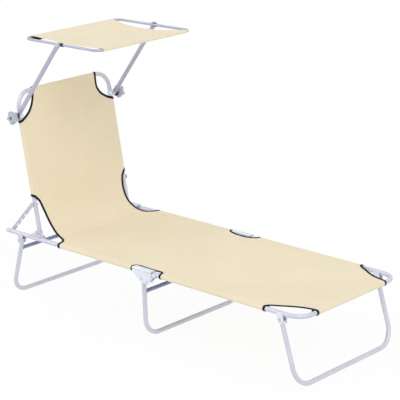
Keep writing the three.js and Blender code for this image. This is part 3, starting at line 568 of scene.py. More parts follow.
# ---- backrest
def pivot_brackets():
    """An angle on each rail whose ear carries the backrest's pivot."""
    ear_in, low, high = BACK_Y + SNUG, SNUG - 1, SADDLE - 1
    bottom, top = BACK_RISE - EAR_RADIUS, BACK_RISE + EAR_RADIUS
    line = [(ear_in, -0.5), (ear_in, SADDLE), (RAIL_Y + TUBE, SADDLE)]
    form = bent_sheet(rounded(line, [0, 2.6, 0], 5, closed=False)[::-1], EAR_TAIL, EAR_NOSE)
    ear = [(EAR_TAIL, low), (-EAR_RADIUS, bottom), (EAR_RADIUS, bottom), (EAR_NOSE, low), (EAR_NOSE, high),
           (EAR_RADIUS, top), (-EAR_RADIUS, top), (EAR_TAIL, high)]
    form.join(plate(rounded(ear, [1, 7, 7, 1, 1, 8, 8, 1]), ear_in, ear_in + PLATE))
    for x in EAR_RIVETS:
        head = turned([(-SADDLE, RIVET)] + dome(-SADDLE, -1, HEAD, HEAD_HEIGHT))
        form.join(head, matrix=moved(x, y=RAIL_Y) @ rotated(-90, "X"))
    place = BED @ moved(BACK_PIVOT)
    # The pivot brackets wear the darker copy of the zinc, which paints in their shade.
    pair("back_pivot_bracket", form, place, "grey_shaded_zinc")
    pin = headed_pin(BACK_Y - SNUG, ear_in + PLATE + GAP, PIN, 0, BACK_RISE)
    pair("back_pivot_pin", pin, place, "steel_rivet")


def racks():
    """Notched strips that hook onto the rail pins, with their bolts."""
    x, z = on_back(RACK_REACH, 0)
    run = vec(RACK_PIN_X - x, RACK_PIN_Z - z)
    reach = run.length
    outline = [(-RACK_ROUND, RACK_FLOOR), (reach + RACK_END, RACK_FLOOR), (reach + RACK_END, RACK_TOP)]
    radii = [RACK_ROUND, 5, 3]
    for notch in range(NOTCHES):
        centre = reach - notch * NOTCH_STEP
        notch_line = ((8.4, RACK_TOP), (4.6, -5), (-4.6, -5), (-1, RACK_TOP))
        outline += [(centre + x, z) for x, z in notch_line]
        radii += [1.5, 3, 3, 1.5]
    outline = rounded(outline + [(-RACK_ROUND, RACK_TOP)], radii + [RACK_ROUND], 5)
    place = pivot_frame(x, z, degrees(atan2(run.y, run.x)))
    # The racks wear the darker copy of the zinc, which paints in their shade.
    pair("rack", plate(outline, RACK_IN, RACK_OUT), place, "dull_shaded_zinc", "rack_{}")
    inner, outer, face = BACK_Y - SNUG, BACK_Y + SNUG, RACK_OUT + GAP
    bolt = dome(inner, -1, HEAD, HEAD_HEIGHT)[::-1]
    bolt += [(inner, RIVET), (outer, RIVET), (outer, HEAD), (outer + 4.6, HEAD), (outer + 4.6, RIVET)]
    bolt += [(face, RIVET)] + dome(face, 1, HEAD, HEAD_HEIGHT)
    pair("rack_bolt", turned(bolt, RACK_REACH), BACK, "steel_rivet", "backrest")
    head = RAIL_Y + SNUG
    pin = [(RACK_OUT + 0.6, 0.4), (RACK_OUT + 0.6, 2.5), (RACK_OUT + 1.1, PIN), (head, PIN)]
    pin = turned(pin + dome(head, 1, HEAD, HEAD_HEIGHT), RACK_PIN_X, RACK_PIN_Z)
    pair("rack_pin", pin, BED, "steel_rivet")


# ---- canopy arms and knobs
def clamps():
    """A band round the backrest tube with a boss, a stud and a nut."""
    ring = SNUG + CLAMP_WALL
    form = tube([(-CLAMP_HALF, BACK_Y, 0), (CLAMP_HALF, BACK_Y, 0)], FRAME_BEND, ring, CLAMP_WALL, 32, 0.6)
    boss = [(BACK_Y + SNUG, CLAMP_BOSS), (CLAMP_OUT - 0.6, CLAMP_BOSS), (CLAMP_OUT, CLAMP_BOSS - 0.6),
            (CLAMP_OUT, PIN), (STUD_END - 1, PIN), (STUD_END, 2.2)]
    form.join(turned(boss, 0, -CLAMP_LEAD, 32))
    inner = BACK_Y - ring + 1
    nut = rounded([(cos(t) * NUT_RADIUS, sin(t) * NUT_RADIUS) for t in turns(6)], 1, 2)
    form.join(plate(nut, inner - NUT_HEIGHT, inner, "Y", 0.6, 2))
    form.join(turned([(inner - 2.5, PIN)] + dome(inner - NUT_HEIGHT, -1, PIN, 1.2)))
    pair("arm_clamp", form, BACK @ moved(CLAMP_REACH), "zinc_plate", "backrest")


def knob():
    """A star knob with soft edges and a shallow dish in its face."""
    base, face = KNOB_IN + KNOB_HEAD, KNOB_IN + KNOB_LENGTH
    levels = [
        (KNOB_IN, 10.2, 0), (KNOB_IN + 0.8, 11, 0), (base - 1.5, 11.4, 0), (base - 0.2, 12.4, 0.05),
        (base, 16.5, 0.75), (base + 0.5, 19.2, 0.9), (base + 1.8, 21.2, 1), (base + 4, 22, 1),
        (face - 7, 22, 1), (face - 4, 21.2, 1), (face - 1.8, 19.2, 0.95), (face - 0.4, 16.4, 0.85),
        (face, 14, 0.7), (face - 0.3, 11.5, 0.35), (face - 1.2, 9.4, 0.1), (face - 1.6, 6.5, 0),
    ]
    rings = []
    for y, radius, share in levels:
        lobed = [(t, radius + KNOB_LOBE * share * cos(KNOB_LOBES * t)) for t in turns(KNOB_SIDES)]
        rings.append([vec(r * cos(t), y, r * sin(t)) for t, r in lobed])
    return skin(rings)


def arm_section(x):
    """The middle, half thickness and half width of an arm at a length up it."""
    lean = min(max((x - ARM_STRAIGHT) / (ARM_BEND - ARM_STRAIGHT), 0), 1)
    middle = (ARM_IN + ARM_OUT) / 2 - ARM_CONVERGE * lean
    pressed = ease((x - ARM_BEND) / (TONGUE_START - ARM_BEND))
    middle += pressed * ((TONGUE_IN + TONGUE_OUT) / 2 - middle)
    thick = (ARM_OUT - ARM_IN) / 2
    thick += pressed * ((TONGUE_OUT - TONGUE_IN) / 2 - thick)
    wide = ARM_WIDTH / 2 + ease((x - ARM_BEND) / (ARM_LENGTH - ARM_BEND)) * (TONGUE_RADIUS - ARM_WIDTH / 2)
    past = max(-x, x - ARM_LENGTH, 0)
    return middle, thick, sqrt(max(wide ** 2 - past ** 2, 0.2))


def arm_form():
    """A flat-oval tube that leans inwards and is pressed flat at its upper end."""
    ends = [pi / 2 * i / 8 for i in range(9)]
    places = [-ARM_WIDTH / 2 * cos(t) for t in ends] + [ARM_STRAIGHT, 180]
    places += [ARM_BEND + (ARM_LENGTH - ARM_BEND) * i / 14 for i in range(15)]
    places += [ARM_LENGTH + TONGUE_RADIUS * sin(t) for t in ends[1:]]
    rings = []
    for x in places:
        middle, thick, wide = arm_section(x)
        corner = min(thick, wide) * 0.96
        ring = []
        for turn in [2 * pi * (i + 0.5) / 32 for i in range(32)]:
            y = copysign(thick - corner, sin(turn)) + corner * sin(turn)
            z = copysign(wide - corner, cos(turn)) + corner * cos(turn)
            ring.append(vec(x, middle + y, z))
        rings.append(ring)
    return skin(rings)


def arms():
    """Flat-oval arms with washers, knobs and capped end rivets."""
    place = pivot_frame(*on_back(CLAMP_REACH, CLAMP_LEAD), ARM_ANGLE)
    # The arms wear the darker copy of the tube paint, which paints in their shade.
    pair("canopy_arm", arm_form(), place, "shaded_tube", "canopy_arms")
    hole, rim = WASHER_HOLE, WASHER_RADIUS
    washer = [(WASHER_IN, hole), (WASHER_IN, rim - 0.5), (WASHER_IN + 0.5, rim), (WASHER_OUT - 0.5, rim),
              (WASHER_OUT, rim - 0.5), (WASHER_OUT, hole)]
    pair("arm_washer", turned(washer, sides=40), place, "black_plastic", "canopy_arms")
    cap = TONGUE_OUT + GAP
    tip = CANOPY_Y + CANOPY_TUBE - 2.3
    rivet = [(tip, 1.6), (tip + 0.6, RIVET), (cap, RIVET), (cap, 8.6), (cap + 0.5, 9), (cap + 3, 9)]
    rivet += [(cap + 4.3, 8.2), (cap + 5, 6.8), (cap + 5, 5.2), (cap + 4.1, 4.2), (cap + 3.9, 0.3)]
    pair("arm_rivet", turned(rivet, ARM_LENGTH, 0, 32), place, "steel_rivet", "canopy_arms")
    pair("star_knob", knob(), place, "grey_plastic", "star_knob_{}")
    face = KNOB_IN + KNOB_LENGTH - 1.7
    screw = turned([(face - 2, 5)] + dome(face, 1, 5, 1.6), sides=32)
    pair("knob_screw_cap", screw, place, "black_plastic", "star_knob_{}", extra=True)


def canopy_place():
    x, z = on_back(CLAMP_REACH, CLAMP_LEAD)
    turn = radians(ARM_ANGLE)
    return pivot_frame(x + ARM_LENGTH * cos(turn), z + ARM_LENGTH * sin(turn), CANOPY_RISE)


def canopy_frame():
    """The canopy's tube loop, butted at the head end, with its clips."""
    low, high, half, place = CANOPY_LOW, CANOPY_HIGH, CANOPY_Y, canopy_place()
    corners = [(low, BUTT_GAP), (low, half), (high, half), (high, -half), (low, -half), (low, -BUTT_GAP)]
    form = tube([(x, y, 0) for x, y in corners], CANOPY_BEND, CANOPY_TUBE, CANOPY_WALL, 20)
    # The canopy tube wears the darker copy of the tube paint, which paints in its shade.
    piece("canopy_tube", form, place, "shaded_tube", "canopy", "canopy_frame")
    rim = [pi * (i / 20 - 0.5) for i in range(21)]
    saddle = [(half + CLIP_OUT * cos(t), CLIP_OUT * sin(t)) for t in rim]
    saddle += [(half + CLIP_IN * cos(t), CLIP_IN * sin(t)) for t in reversed(rim)]
    pair("canopy_clip", plate(saddle, CLIP_TAIL, CLIP_NOSE, "X", 0.4, 2), place, "black_plastic", "canopy")


# ---- cloth
def wrapped(lead, seam, drop):
    """How a sleeve lies round its tube: where a point goes, by its distance past the tube's axis.

    Gives a function from that distance to how far out it lies, how high, and its normal.
    """
    target = vec(-seam, lead - drop)
    reach = target.length
    straight = sqrt(reach ** 2 - lead ** 2)
    turn = 5 * pi / 2 - atan2(target.y, target.x) - acos(lead / reach)
    arc = lead * turn

    def place(distance):
        if distance <= 0:
            return vec(distance, lead), vec(0, 1)
        angle = min(distance / lead, turn)
        out = vec(sin(angle), cos(angle))
        past = distance - arc
        if past <= 0:
            return out * lead, out
        if past <= straight:
            return out * lead + vec(cos(turn), -sin(turn)) * past, out
        return target + vec(-1, 0) * (past - straight), vec(0, -1)

    stops = [arc * i / 14 for i in range(1, 15)] + [arc + straight * i / 3 for i in range(1, 4)]
    return place, stops + [arc + straight + 5, arc + straight + 10]


SIDE_WRAP, SIDE_STOPS = wrapped(CLOTH_LEAD, HEM, 1.4)
CANOPY_WRAP, CANOPY_STOPS = wrapped(CANOPY_LEAD, CANOPY_HEM, 1.3)
POCKET_WRAP, POCKET_STOPS = wrapped(CANOPY_LEAD, POCKET, 1.3)


def runs_along(points):
    """The length of a line up to each of its points."""
    runs = [0.0]
    for a, b in zip(points, points[1:]):
        runs.append(runs[-1] + (b - a).length)
    return runs


def find(stops, place):
    """Which step between stops a place is in, and how far along it."""
    i = min(max(bisect.bisect(stops, place) - 1, 0), len(stops) - 2)
    return i, (place - stops[i]) / max(stops[i + 1] - stops[i], 1e-9)


# Where the sling leaves the straight backrest and the flat seat, and the bend between them
CREASE_X, CURVE_REACH, CURVE_STEPS = 266, 160, 160
BEND_START = Vector(on_back(CURVE_REACH, CLOTH_LEAD))
BEND_END = vec(CREASE_X, CLOTH_LEAD)
BEND_CORNER = vec(BEND_START.x + (BEND_START.y - CLOTH_LEAD) / tan(LEAN), CLOTH_LEAD)
BACK_RUN = BACK_LENGTH - CURVE_REACH


def bezier(t):
    """A point of the bend and its direction."""
    point = BEND_START * (1 - t) ** 2 + BEND_CORNER * 2 * t * (1 - t) + BEND_END * t * t
    slope = (BEND_CORNER - BEND_START) * (1 - t) + (BEND_END - BEND_CORNER) * t
    return point, slope.normalized()


CURVE = [bezier(i / CURVE_STEPS) for i in range(CURVE_STEPS + 1)]
CURVE_RUNS = runs_along([point for point, _ in CURVE])
SEAT_V = BACK_RUN + CURVE_RUNS[-1] - CREASE_X
END_V = SEAT_V + BED_LENGTH


def profile(v):
    """A point of the sling's long section and its direction, at a length down it."""
    if v <= BACK_RUN:
        x, z = on_back(BACK_LENGTH - v, CLOTH_LEAD)
        return vec(x, 0, z), DOWN_BACK.copy()
    run = v - BACK_RUN
    if run < CURVE_RUNS[-1]:
        i, t = find(CURVE_RUNS, run)
        point, way = (a.lerp(b, t) for a, b in zip(CURVE[i], CURVE[i + 1]))
        way.normalize()
        return vec(point.x, 0, point.y), vec(way.x, 0, way.y)
    return vec(v - SEAT_V, 0, CLOTH_LEAD), vec(1, 0, 0)


def nearest_v(x, height):
    """The length down the sling of the place nearest to a point."""
    tries = [BACK_RUN - 80 + step for step in range(int(CURVE_RUNS[-1]) + 140)]
    goal = vec(x, 0, height)
    return min(tries, key=lambda v: (profile(v)[0] - goal).length)


def smooth_line(points, origin=0.0, steps=6):
    """A spline through points whose first values count from an origin."""
    points = [vec(origin + x, y) for x, y in points]
    line = []
    for i in range(len(points) - 1):
        a, b = points[max(i - 1, 0)], points[i]
        c, d = points[i + 1], points[min(i + 2, len(points) - 1)]
        for step in range(steps):
            t = step / steps
            line.append((b * 2 + (c - a) * t + (a * 2 - b * 5 + c * 4 - d) * t * t
                         + (b * 3 - a - c * 3 + d) * t ** 3) / 2)
    return line + [points[-1]]


# The cut edges of the sling on one side, as length down it and distance from its middle.
# The seat's and the foot section's lengths count from the rear end of the rails.
TOP_HALF, FOOT_HALF = 164.7, 190
BACK_SLEEVE = (BACK_LENGTH - 439.5, BACK_LENGTH - 142)
SEAT_SLEEVE = (SEAT_V + 296, SEAT_V + 685)
FOOT_SLEEVE = (SEAT_V + 826, SEAT_V + 1311)
SPLIT_V = SEAT_V + 600
TOP_CUT = smooth_line([
    (0, TOP_HALF), (16, 166.1), (34, 168.3), (51, 172.6), (61, 178), (70, 184.3), (77, 190.5), (83, 197.3),
    (89, 205.3), (95, 215), (100, 224.3), (104, 233.3), (BACK_SLEEVE[0], BACK_Y),
])
# How far the cloth is pulled towards the near side there, at its edge
TOP_SKEW = smooth_line([
    (-64, 3.6), (-54, 3.2), (-42, 0), (-30, -4), (-14, -4.5), (0, 0.6), (16, 2.7), (34, 6), (52, 8.3),
    (70, 8.4), (83, 7.6), (94, 6.3), (100, 4.6), (104, 2), (106.5, 0),
])
# The cut beside the bend, as station, distance from the middle and height above the floor
LOWER_EDGE = [
    (143.5, 225, 401), (145.8, 220, 388), (150.3, 217, 376.5), (154.4, 214, 364.5), (159.2, 212, 353),
    (165.2, 210.8, 341.5), (170, 210, 330), (178, 209.8, 319.5), (187, 210, 309.6), (195.6, 210.8, 299.7),
    (207.6, 212.8, 291), (219.9, 215.6, 283), (234.4, 218.8, 276.6),
]
LOWER_CUT = smooth_line(
    [(BACK_SLEEVE[1], BACK_Y)] + [(nearest_v(x, z - RAIL_HEIGHT), y) for x, y, z in LOWER_EDGE]
    + [(SEAT_V + x, y) for x, y in ((252, 223.5), (268, 230), (282, 241), (291, 254), (296, RAIL_Y))]
)
MIDDLE_CUT = smooth_line([
    (685, RAIL_Y), (689, 261), (697, 255), (712, 251.2), (735, 249.4), (755, 249), (776, 249.4),
    (799, 251.2), (814, 255), (822, 261), (826, RAIL_Y),
], SEAT_V)
FOOT_CUT = smooth_line([
    (1311, RAIL_Y), (1315, 262), (1331, 249.5), (1351, 238), (1381, 219.5), (1414, 203), (1442, 194.5),
    (BED_LENGTH, FOOT_HALF),
], SEAT_V)


def along(line, v):
    """The value that a smooth line has at a length."""
    i, share = find([p.x for p in line], v)
    return line[i].y + (line[i + 1].y - line[i].y) * min(max(share, 0), 1)


def half_width(v):
    """Half the width of the sling's panel."""
    if v <= 0:
        return TOP_HALF
    ends = (*BACK_SLEEVE, *SEAT_SLEEVE, *FOOT_SLEEVE, END_V)
    for end, edge in zip(ends, (TOP_CUT, BACK_Y, LOWER_CUT, RAIL_Y, MIDDLE_CUT, RAIL_Y, FOOT_CUT)):
        if v <= end:
            return along(edge, v) if isinstance(edge, list) else edge
    return FOOT_HALF


def ease(t):
    t = min(max(t, 0.0), 1.0)
    return t * t * (3 - 2 * t)


def bell(x, width):
    return exp(-(x / width) ** 2)


def wave(*place):
    """Smooth noise at a place."""
    return noise.noise(Vector(place))


def slack(w, v):
    """How far the sling lies off its flat form: sag, creases and ripples."""
    half = half_width(v)
    edge = max(half - abs(w), 0)
    middle = 1 - (w / half) ** 2
    ends = ease(v / 140) * ease((END_V - v) / 160)
    seat = ease((v - SEAT_SLEEVE[0] + 60) / 160)
    sag = middle * ends * (3.0 + 4.5 * seat)
    opening = (v - SEAT_SLEEVE[1]) / (FOOT_SLEEVE[0] - SEAT_SLEEVE[1])
    sag += 4.2 * sin(pi * min(max(opening, 0), 1)) * bell(edge, 90) * (1 - 0.3 * middle)
    x = v - SEAT_V
    ripples = 1.5 * wave(w / 150, v / 150, 3.7) + 0.8 * wave((w + 90) / 60, v / 60, 3.7)
    ripples += 1.7 * bell(edge - 10, 34) * wave(v / 17, copysign(4, w), edge / 60)
    ripples += 1.4 * (bell(v - 14, 34) + bell(END_V - 14 - v, 34)) * wave(w / 15, 2, v / 70)
    ripples += 1.0 * bell(x - 235, 45) * wave(w / 90, v / 15, 9)
    ripples += 0.5 * bell(x - 760, 60) * wave(w / 120, v / 16, 5)
    wander = 7 * wave(w / 110, 5, 1)
    crease = 0.75 * bell(x - 257 - wander, 13) - 0.3 * bell(x - 236 - wander, 16)
    return min(ease(edge / 14), ends) * ripples - sag - 2.2 * crease * min(1, ease(edge / 20) + 0.3)


def skew(w, v):
    """How far the cloth at the head is pulled towards the near side."""
    return -along(TOP_SKEW, v) * min(abs(w) / half_width(v), 1) ** 4


def sling(v, w, beyond=0.0, lift=0.0):
    """A point of the sling and its normal; beyond is a distance past a side tube's axis."""
    side = copysign(1, w)
    if v < 0:
        out, normal = SIDE_WRAP(-v)
        axis, way, off, w = vec(*on_back(BACK_LENGTH, 0), 0).xzy, -DOWN_BACK, OFF_BACK, w + skew(w, v)
    elif v > END_V:
        out, normal = SIDE_WRAP(v - END_V)
        axis, way, off = vec(BED_LENGTH, 0, 0), vec(1, 0, 0), UP
    if v < 0 or v > END_V:
        facing = way * normal.x + off * normal.y
        return axis + way * out.x + off * out.y + vec(0, w, 0) + facing * lift, facing
    if beyond > 0:
        slants = [rate * max(1 - abs(v - end) / 40, 0) for rate, end in zip((0.35, -0.6), BACK_SLEEVE)]
        v += sum(slants) * min(beyond, 12)
    point, way = profile(v)
    facing = vec(-way.z, 0, way.x)
    if beyond > 0:
        out, normal = SIDE_WRAP(beyond)
        point = point + facing * (out.y - CLOTH_LEAD) + vec(0, w + side * out.x, 0)
        facing = vec(0, side * normal.x, 0) + facing * normal.y
        return point + facing * lift, facing
    return point + facing * (slack(w, v) + lift) + vec(0, w + skew(w, v), 0), facing


def rows_between(low, high, step, stops):
    """Even rows with the stops among them, none closer than half a millimetre."""
    count = max(round((high - low) / step), 1)
    even = [low + (high - low) * i / count for i in range(1, count)]
    even = [row for row in even if min((abs(row - s) for s in stops), default=9) > step * 0.3]
    rows = [low]
    for row in sorted(even + [s for s in stops if low < s < high]):
        if row - rows[-1] > 0.5 and high - row > 0.5:
            rows.append(row)
    return rows + [high]


def cloth_piece(name, rows, half, place, matrix, thickness, sleeves=(), columns=60):
    """A sheet of real thickness: a panel of rows and columns, and a strip per side sleeve."""
    points, uvs, grid = [], [], []
    for v in rows:
        across = [half(v) * (2 * i / columns - 1) for i in range(columns + 1)]
        grid.append(range(len(points), len(points) + columns + 1))
        points += [place(v, w)[0] for w in across]
        uvs += [(w, v) for w in across]
    faces = [[a[i], a[i + 1], b[i + 1], b[i]] for a, b in zip(grid, grid[1:]) for i in range(columns)]
    for low, high in sleeves:
        for side, column in ((-1, 0), (1, columns)):
            last = None
            for j in [j for j, v in enumerate(rows) if low - 1e-6 <= v <= high + 1e-6]:
                y = side_tube(rows[j])
                line = [grid[j][column], *range(len(points), len(points) + len(SIDE_STOPS))]
                points += [place(rows[j], side * y, stop)[0] for stop in SIDE_STOPS]
                uvs += [(side * (y + stop), rows[j]) for stop in SIDE_STOPS]
                if last:
                    quads = [[a, b, d, c] for a, b, c, d in zip(last, last[1:], line, line[1:])]
                    faces += quads if side > 0 else [q[::-1] for q in quads]
                last = line
    mesh = bpy.data.meshes.new(name)
    mesh.from_pydata([(matrix @ p) * MM for p in points], [], faces)
    layer = mesh.uv_layers.new(name="Cloth")
    for loop, spot in zip(mesh.loops, layer.data):
        spot.uv = [x * MM for x in uvs[loop.vertex_index]]
    mesh.shade_smooth()
    obj = dressed(name, mesh, "beige_fabric")
    thick = obj.modifiers.new("Thickness", "SOLIDIFY")
    thick.thickness = thickness * MM
    thick.offset = 0
    made = bpy.data.meshes.new_from_object(obj.evaluated_get(bpy.context.evaluated_depsgraph_get()))
    obj.modifiers.clear()
    obj.data = made
    made.set_sharp_from_angle(angle=radians(50))
    return obj


def flat_area(rows, half, sleeves=()):
    """The area of the cut cloth, in square metres."""
    panel = sum((b - a) * (half(a) + half(b)) for a, b in zip(rows, rows[1:]))
    return (panel + sum(2 * SIDE_STOPS[-1] * (high - low) for low, high in sleeves)) * MM * MM


def evenly(samples, step):
    """Samples at even steps along a line of points and normals."""
    runs = runs_along([point for point, _ in samples])
    count = max(int(runs[-1] / step), 1)
    even = []
    for k in range(count + 1):
        i, t = find(runs, runs[-1] * k / count)
        point, normal = (a.lerp(b, t) for a, b in zip(samples[i], samples[i + 1]))
        even.append((point, normal.normalized()))
    return even


def stitches(samples, length=3.0, pitch=4.4, half=0.36, sunk=0.3):
    """A row of short stitches that lie on a surface."""
    form = Form()
    even = evenly(samples, pitch)
    for (point, normal), (following, _) in zip(even, even[1:]):
        way = (following - point).normalized()
        across = way.cross(normal) * half
        middle = [point + way * length * share for share in (0.2, 0.8)]
        rings = [[m + across, m + normal * half, m - across, m - normal * sunk] for m in middle]
        faces = [[0, 1 + k, 1 + (k + 1) % 4] for k in range(4)]
        faces += [[1 + k, 5 + k, 5 + (k + 1) % 4, 1 + (k + 1) % 4] for k in range(4)]
        faces += [[9, 5 + (k + 1) % 4, 5 + k] for k in range(4)]
        form.add([point, *rings[0], *rings[1], point + way * length], faces)
    return form


def seam(place, steps, lift=0.45):
    """Stitches on both faces; place gives a point and a normal for a share and a lift."""
    form = Form()
    for rise in (lift, -lift):
        line = [place(i / steps, rise) for i in range(steps + 1)]
        form.join(stitches([(p, n * copysign(1, rise)) for p, n in line]))
    return form


def sling_edge(cut, side, head=False, foot=False):
    """A cut edge and the sleeve ends that it runs on to."""
    first, last, wrap = cut[0], cut[-1], SIDE_STOPS[:-3]
    start = [sling(-d, side * TOP_HALF) if head else sling(first.x, side * first.y, d) for d in wrap]
    end = [sling(END_V + d, side * FOOT_HALF) if foot else sling(last.x, side * last.y, d) for d in wrap]
    return evenly(start[::-1] + [sling(p.x, side * p.y) for p in cut] + end, 2.5)


def sling_seams(sleeves, v, half):
    """The stitching of the side sleeves, and of the one across at v."""
    form = Form()
    for start, end in sleeves:
        for side in (-1, 1):
            y = side * (side_tube(start) - 26)
            form.join(seam(lambda t, lift: sling(start + 3 + (end - start - 6) * t, y, 0, lift), 90))
    return form.join(seam(lambda t, lift: sling(v, half * (2 * t - 1), 0, lift), 60))


def side_tube(v):
    """How far the side tube is from the middle."""
    return BACK_Y if v < BACK_SLEEVE[1] + 60 else RAIL_Y


def sling_part(name, low, high, sleeves, edges, seams, nodes):
    """One part of the sling with its binding and its stitching."""
    stops = [p.x for line in (TOP_CUT, LOWER_CUT, MIDDLE_CUT, FOOT_CUT) for p in line[::2]]
    stops += [*BACK_SLEEVE, *SEAT_SLEEVE, *FOOT_SLEEVE]
    rows = rows_between(max(low, 0), min(high, END_V), 8, stops)
    if low < 0:
        rows = [-s for s in reversed(SIDE_STOPS)] + rows
    if high > END_V:
        rows += [END_V + s for s in SIDE_STOPS]
    cloth = cloth_piece(name, rows, half_width, sling, BED, CLOTH, sleeves)
    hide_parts(*nodes)
    binding = Form().join(*(sweep(edge, BINDING_HALF, BINDING_RISE) for edge in edges))
    trim = dressed(name + "_binding", mesh_of(name + "_binding", binding, BED, 60), "navy_piping")
    thread = dressed(name + "_stitching", mesh_of(name + "_stitching", seams, BED, 80), "thread")
    for obj in (cloth, trim, thread):
        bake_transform(obj)
    flaps = [SIDE_STOPS[-1] if any(a <= v <= b for a, b in sleeves) else 0 for v in rows]
    width = max(half_width(v) + flap for v, flap in zip(rows, flaps))
    flat_area(rows, half_width, sleeves)


def sling_cloth():
    """The sling in two parts, each across one joint, that meet where it lies flat on the seat."""
    sides, flap = (-1, 1), SIDE_STOPS[-1]
    sleeves = (BACK_SLEEVE, (SEAT_SLEEVE[0], SPLIT_V))
    edges = [sling_edge(TOP_CUT, s, head=True) for s in sides] + [sling_edge(LOWER_CUT, s) for s in sides]
    seams = sling_seams(sleeves, 26, TOP_HALF - 6)
    sling_part("back_and_seat_cloth", -flap, SPLIT_V, sleeves, edges, seams,
               ("back_fabric", "seat_fabric"))
    sleeves = ((SPLIT_V, SEAT_SLEEVE[1]), FOOT_SLEEVE)
    edges = [sling_edge(MIDDLE_CUT, s) for s in sides] + [sling_edge(FOOT_CUT, s, foot=True) for s in sides]
    seams = sling_seams(sleeves, END_V - 26, FOOT_HALF - 6)
    sling_part("foot_cloth", SPLIT_V, END_V + flap, sleeves, edges, seams,
               ("foot_fabric",))


CANOPY_EDGE = smooth_line([
    (0, 213), (24, 207), (50, 202), (98, 194), (164, 191), (250, 194), (320, 204), (372, 216), (390, 219),
], CANOPY_LOW)


def canopy_half(x):
    """Half the canopy cloth's width; the pocket's flap is cut like the cloth over it."""
    if x < CANOPY_LOW:
        x = CANOPY_LOW + max(-POCKET_WRAP(CANOPY_LOW - x)[0].x, 0)
    return along(CANOPY_EDGE, min(x, CANOPY_HIGH))


def bend_inset(w):
    """How far the canopy's cross tubes have bent inwards."""
    past = max(abs(w) - (CANOPY_Y - CANOPY_BEND), 0)
    return CANOPY_BEND - sqrt(CANOPY_BEND ** 2 - past ** 2)


def hang(x, w):
    """How far the canopy's cloth lies off the plane over its tubes."""
    t = (x - CANOPY_LOW) / (CANOPY_HIGH - CANOPY_LOW)
    share = abs(w) / canopy_half(x)
    end = min(t, 1 - t)
    sag = 11.5 * sin(pi * t) * (1 + 0.12 * share ** 2)
    waves = 1.6 * wave(w / 120, x / 120, 3.7) + 0.9 * bell(1 - share, 0.2) * wave(x / 30, w / 90, 2)
    pulls = bell(end * 9 - 0.6, 0.8) * wave(w / 16, 1, x / 90)
    return ease(end * 12) * (waves + pulls) - sag


def canopy_point(x, w, lift=0.0):
    """A point of the canopy's cloth, which wraps both cross tubes, and its normal."""
    if CANOPY_LOW <= x <= CANOPY_HIGH:
        return vec(x, w, CANOPY_LEAD + hang(x, w) + lift), UP.copy()
    head = x < CANOPY_LOW
    end, way, wrap, seam_at, loose = (
        (CANOPY_LOW, -1, POCKET_WRAP, POCKET, 8) if head else (CANOPY_HIGH, 1, CANOPY_WRAP, CANOPY_HEM, 0)
    )
    out, facing = wrap(abs(x - end))
    point = vec(end + way * (out.x - bend_inset(w)), w, out.y)
    if out.x < 0:
        share = min(-out.x / seam_at, 1)
        point.z += share * hang(end + way * out.x, w) - loose * sin(pi * share)
    normal = vec(way * facing.x, 0, facing.y)
    return point + normal * lift, normal


def canopy_cloth():
    """The canopy's cloth with its seams, and a navy strip of painted shade inside its pocket's mouths."""
    place = canopy_place()
    rows = [CANOPY_LOW - s for s in reversed(POCKET_STOPS)] + rows_between(CANOPY_LOW, CANOPY_HIGH, 7, [])
    rows += [CANOPY_HIGH + s for s in CANOPY_STOPS]
    cloth = cloth_piece("canopy_cloth", rows, canopy_half, canopy_point, place, CANOPY_CLOTH)
    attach(cloth, "canopy")
    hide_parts("canopy_fabric")
    seams, binding = Form(), Form()
    for x in (CANOPY_LOW + POCKET + 2, CANOPY_HIGH - CANOPY_HEM - 2):
        half = canopy_half(x) - 3
        seams.join(seam(lambda t, lift: canopy_point(x, half * (2 * t - 1), lift), 70, 0.4))
    for side in (-1, 1):
        def down(t, lift):
            x = CANOPY_LOW + 6 + (CANOPY_HIGH - CANOPY_LOW - 12) * t
            return canopy_point(x, side * (canopy_half(x) - 6), lift)

        seams.join(seam(down, 90, 0.4))
        stops = [CANOPY_LOW + s for s in (44, 36, 28, 20, 12, 5, 0)]
        stops += [CANOPY_LOW - s for s in POCKET_STOPS[:-2]]
        rim = [canopy_point(x, side * canopy_half(x)) for x in stops if x < CANOPY_LOW - 8]
        binding.join(sweep(evenly(rim, 2), 1.6, 0.9))
        # A navy strip on the inner face of each pocket's mouth: painted shade, so that the mouth looks
        # dark.
        mouth_shade = []
        for x in stops:
            under = [canopy_point(x, side * (canopy_half(x) - inset), -0.55) for inset in (1, 10, 20, 30)]
            mouth_shade.append([p for p, _ in under] + [p - n * 0.25 for p, n in reversed(under)])
        binding.join(skin(mouth_shade))
    # The binding and the navy strip of painted shade in the pockets' mouths are one piece.
    trim = piece("canopy_binding_and_mouth_shade", binding, place, "navy_piping", "canopy")
    thread = piece("canopy_stitching", seams, place, "thread", "canopy")
    width, area = max(map(canopy_half, rows)), flat_area(rows, canopy_half)


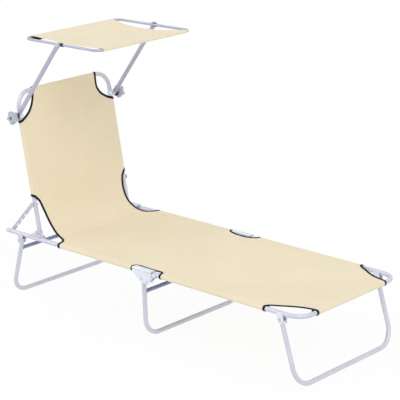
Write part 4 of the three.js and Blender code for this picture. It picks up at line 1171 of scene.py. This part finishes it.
# ---- stage, light and camera
def studio(size=12, glow=0.93, fill=0.84):
    """A floor and sky that the camera sees almost white, and two soft suns."""
    material = bpy.data.materials.new("studio_floor")
    nodes = Nodes(material)
    values = {"Base Color": (0.95, 0.95, 0.955, 1), "Roughness": 0.9, "Specular IOR Level": 0.1}
    shader = nodes.fill(nodes.tree.nodes["Principled BSDF"], values)
    share = nodes.math("MULTIPLY", nodes.seen(), glow)
    nodes.show("Material Output", share, shader, nodes.node("Emission", {"Strength": 1}))
    mesh = bpy.data.meshes.new("floor")
    corners = [(-size, -size, 0), (size, -size, 0), (size, size, 0), (-size, size, 0)]
    mesh.from_pydata(corners, [], [[0, 1, 2, 3]])
    mesh.materials.append(material)
    placed("floor", mesh)

    sky = bpy.data.worlds.new("studio")
    bpy.context.scene.world = sky
    nodes = Nodes(sky)
    dim = nodes.fill(nodes.tree.nodes["Background"], {"Color": (0.97, 0.98, 1, 1), "Strength": fill})
    white = nodes.node("Background", {"Color": (1, 1, 1, 1), "Strength": 1})
    nodes.show("World Output", nodes.seen(), dim, white)

    suns = ("key", 0.55, 35, (-0.75, 0.45, -1)), ("side", 0.3, 25, (0.75, 0.45, -0.5))
    for name, energy, spread, way in suns:
        lamp = bpy.data.lights.new(name, "SUN")
        lamp.energy = energy
        lamp.angle = radians(spread)
        placed(name, lamp).rotation_euler = Vector(way).to_track_quat("-Z", "Y").to_euler()


def camera(turn=42.572, rise=17.183, roll=-0.729, distance=5.9405):
    """The photograph's viewpoint, turned about a point of the part."""
    lens = bpy.data.cameras.new("photo_view")
    lens.lens = 145.49
    lens.sensor_width = 36
    view = placed("photo_view", lens)
    view.matrix_world = (moved(0.032466, 0.47401) @ rotated(turn, "Z") @ rotated(90 - rise, "X")
                         @ rotated(roll, "Z") @ moved(z=distance))
    bpy.context.scene.camera = view
    bpy.context.scene.view_settings.view_transform = "Standard"


camera()
studio()
seat_rails()
rear_lean = leg("rear", REAR_PIVOT, REAR_BASE, LEG_DROP, LEG_OUT, bar=REAR_BAR)
leg("middle", MIDDLE_PIVOT, MIDDLE_BASE, MIDDLE_DROP, HINGE_OUT, MIDDLE_TOE, MIDDLE_BAR)
foot_lean = leg("foot", FOOT_PIVOT, FOOT_BASE, LEG_DROP, LEG_OUT)
# The rear leg brackets wear the darker copy of the zinc, which paints in their shade.
leg_bracket("rear_leg_bracket", REAR_PIVOT, rear_lean, "grey_shaded_zinc", "seat_frame")
leg_bracket("foot_leg_bracket", FOOT_PIVOT, foot_lean, "zinc_plate", "foot_section")
hinge_brackets()
foot_brackets()
foot = u_tube(BUTT_GAP, BED_LENGTH - SEAT_LENGTH, RAIL_Y)
piece("foot_tube", foot, MIDDLE, "painted_tube", "foot_section", "foot_frame")
pivot_brackets()
piece("back_tube", u_tube(-BACK_END, BACK_LENGTH, BACK_Y), BACK, "painted_tube", "backrest", "back_frame")
racks()
clamps()
arms()
canopy_frame()
sling_cloth()
canopy_cloth()
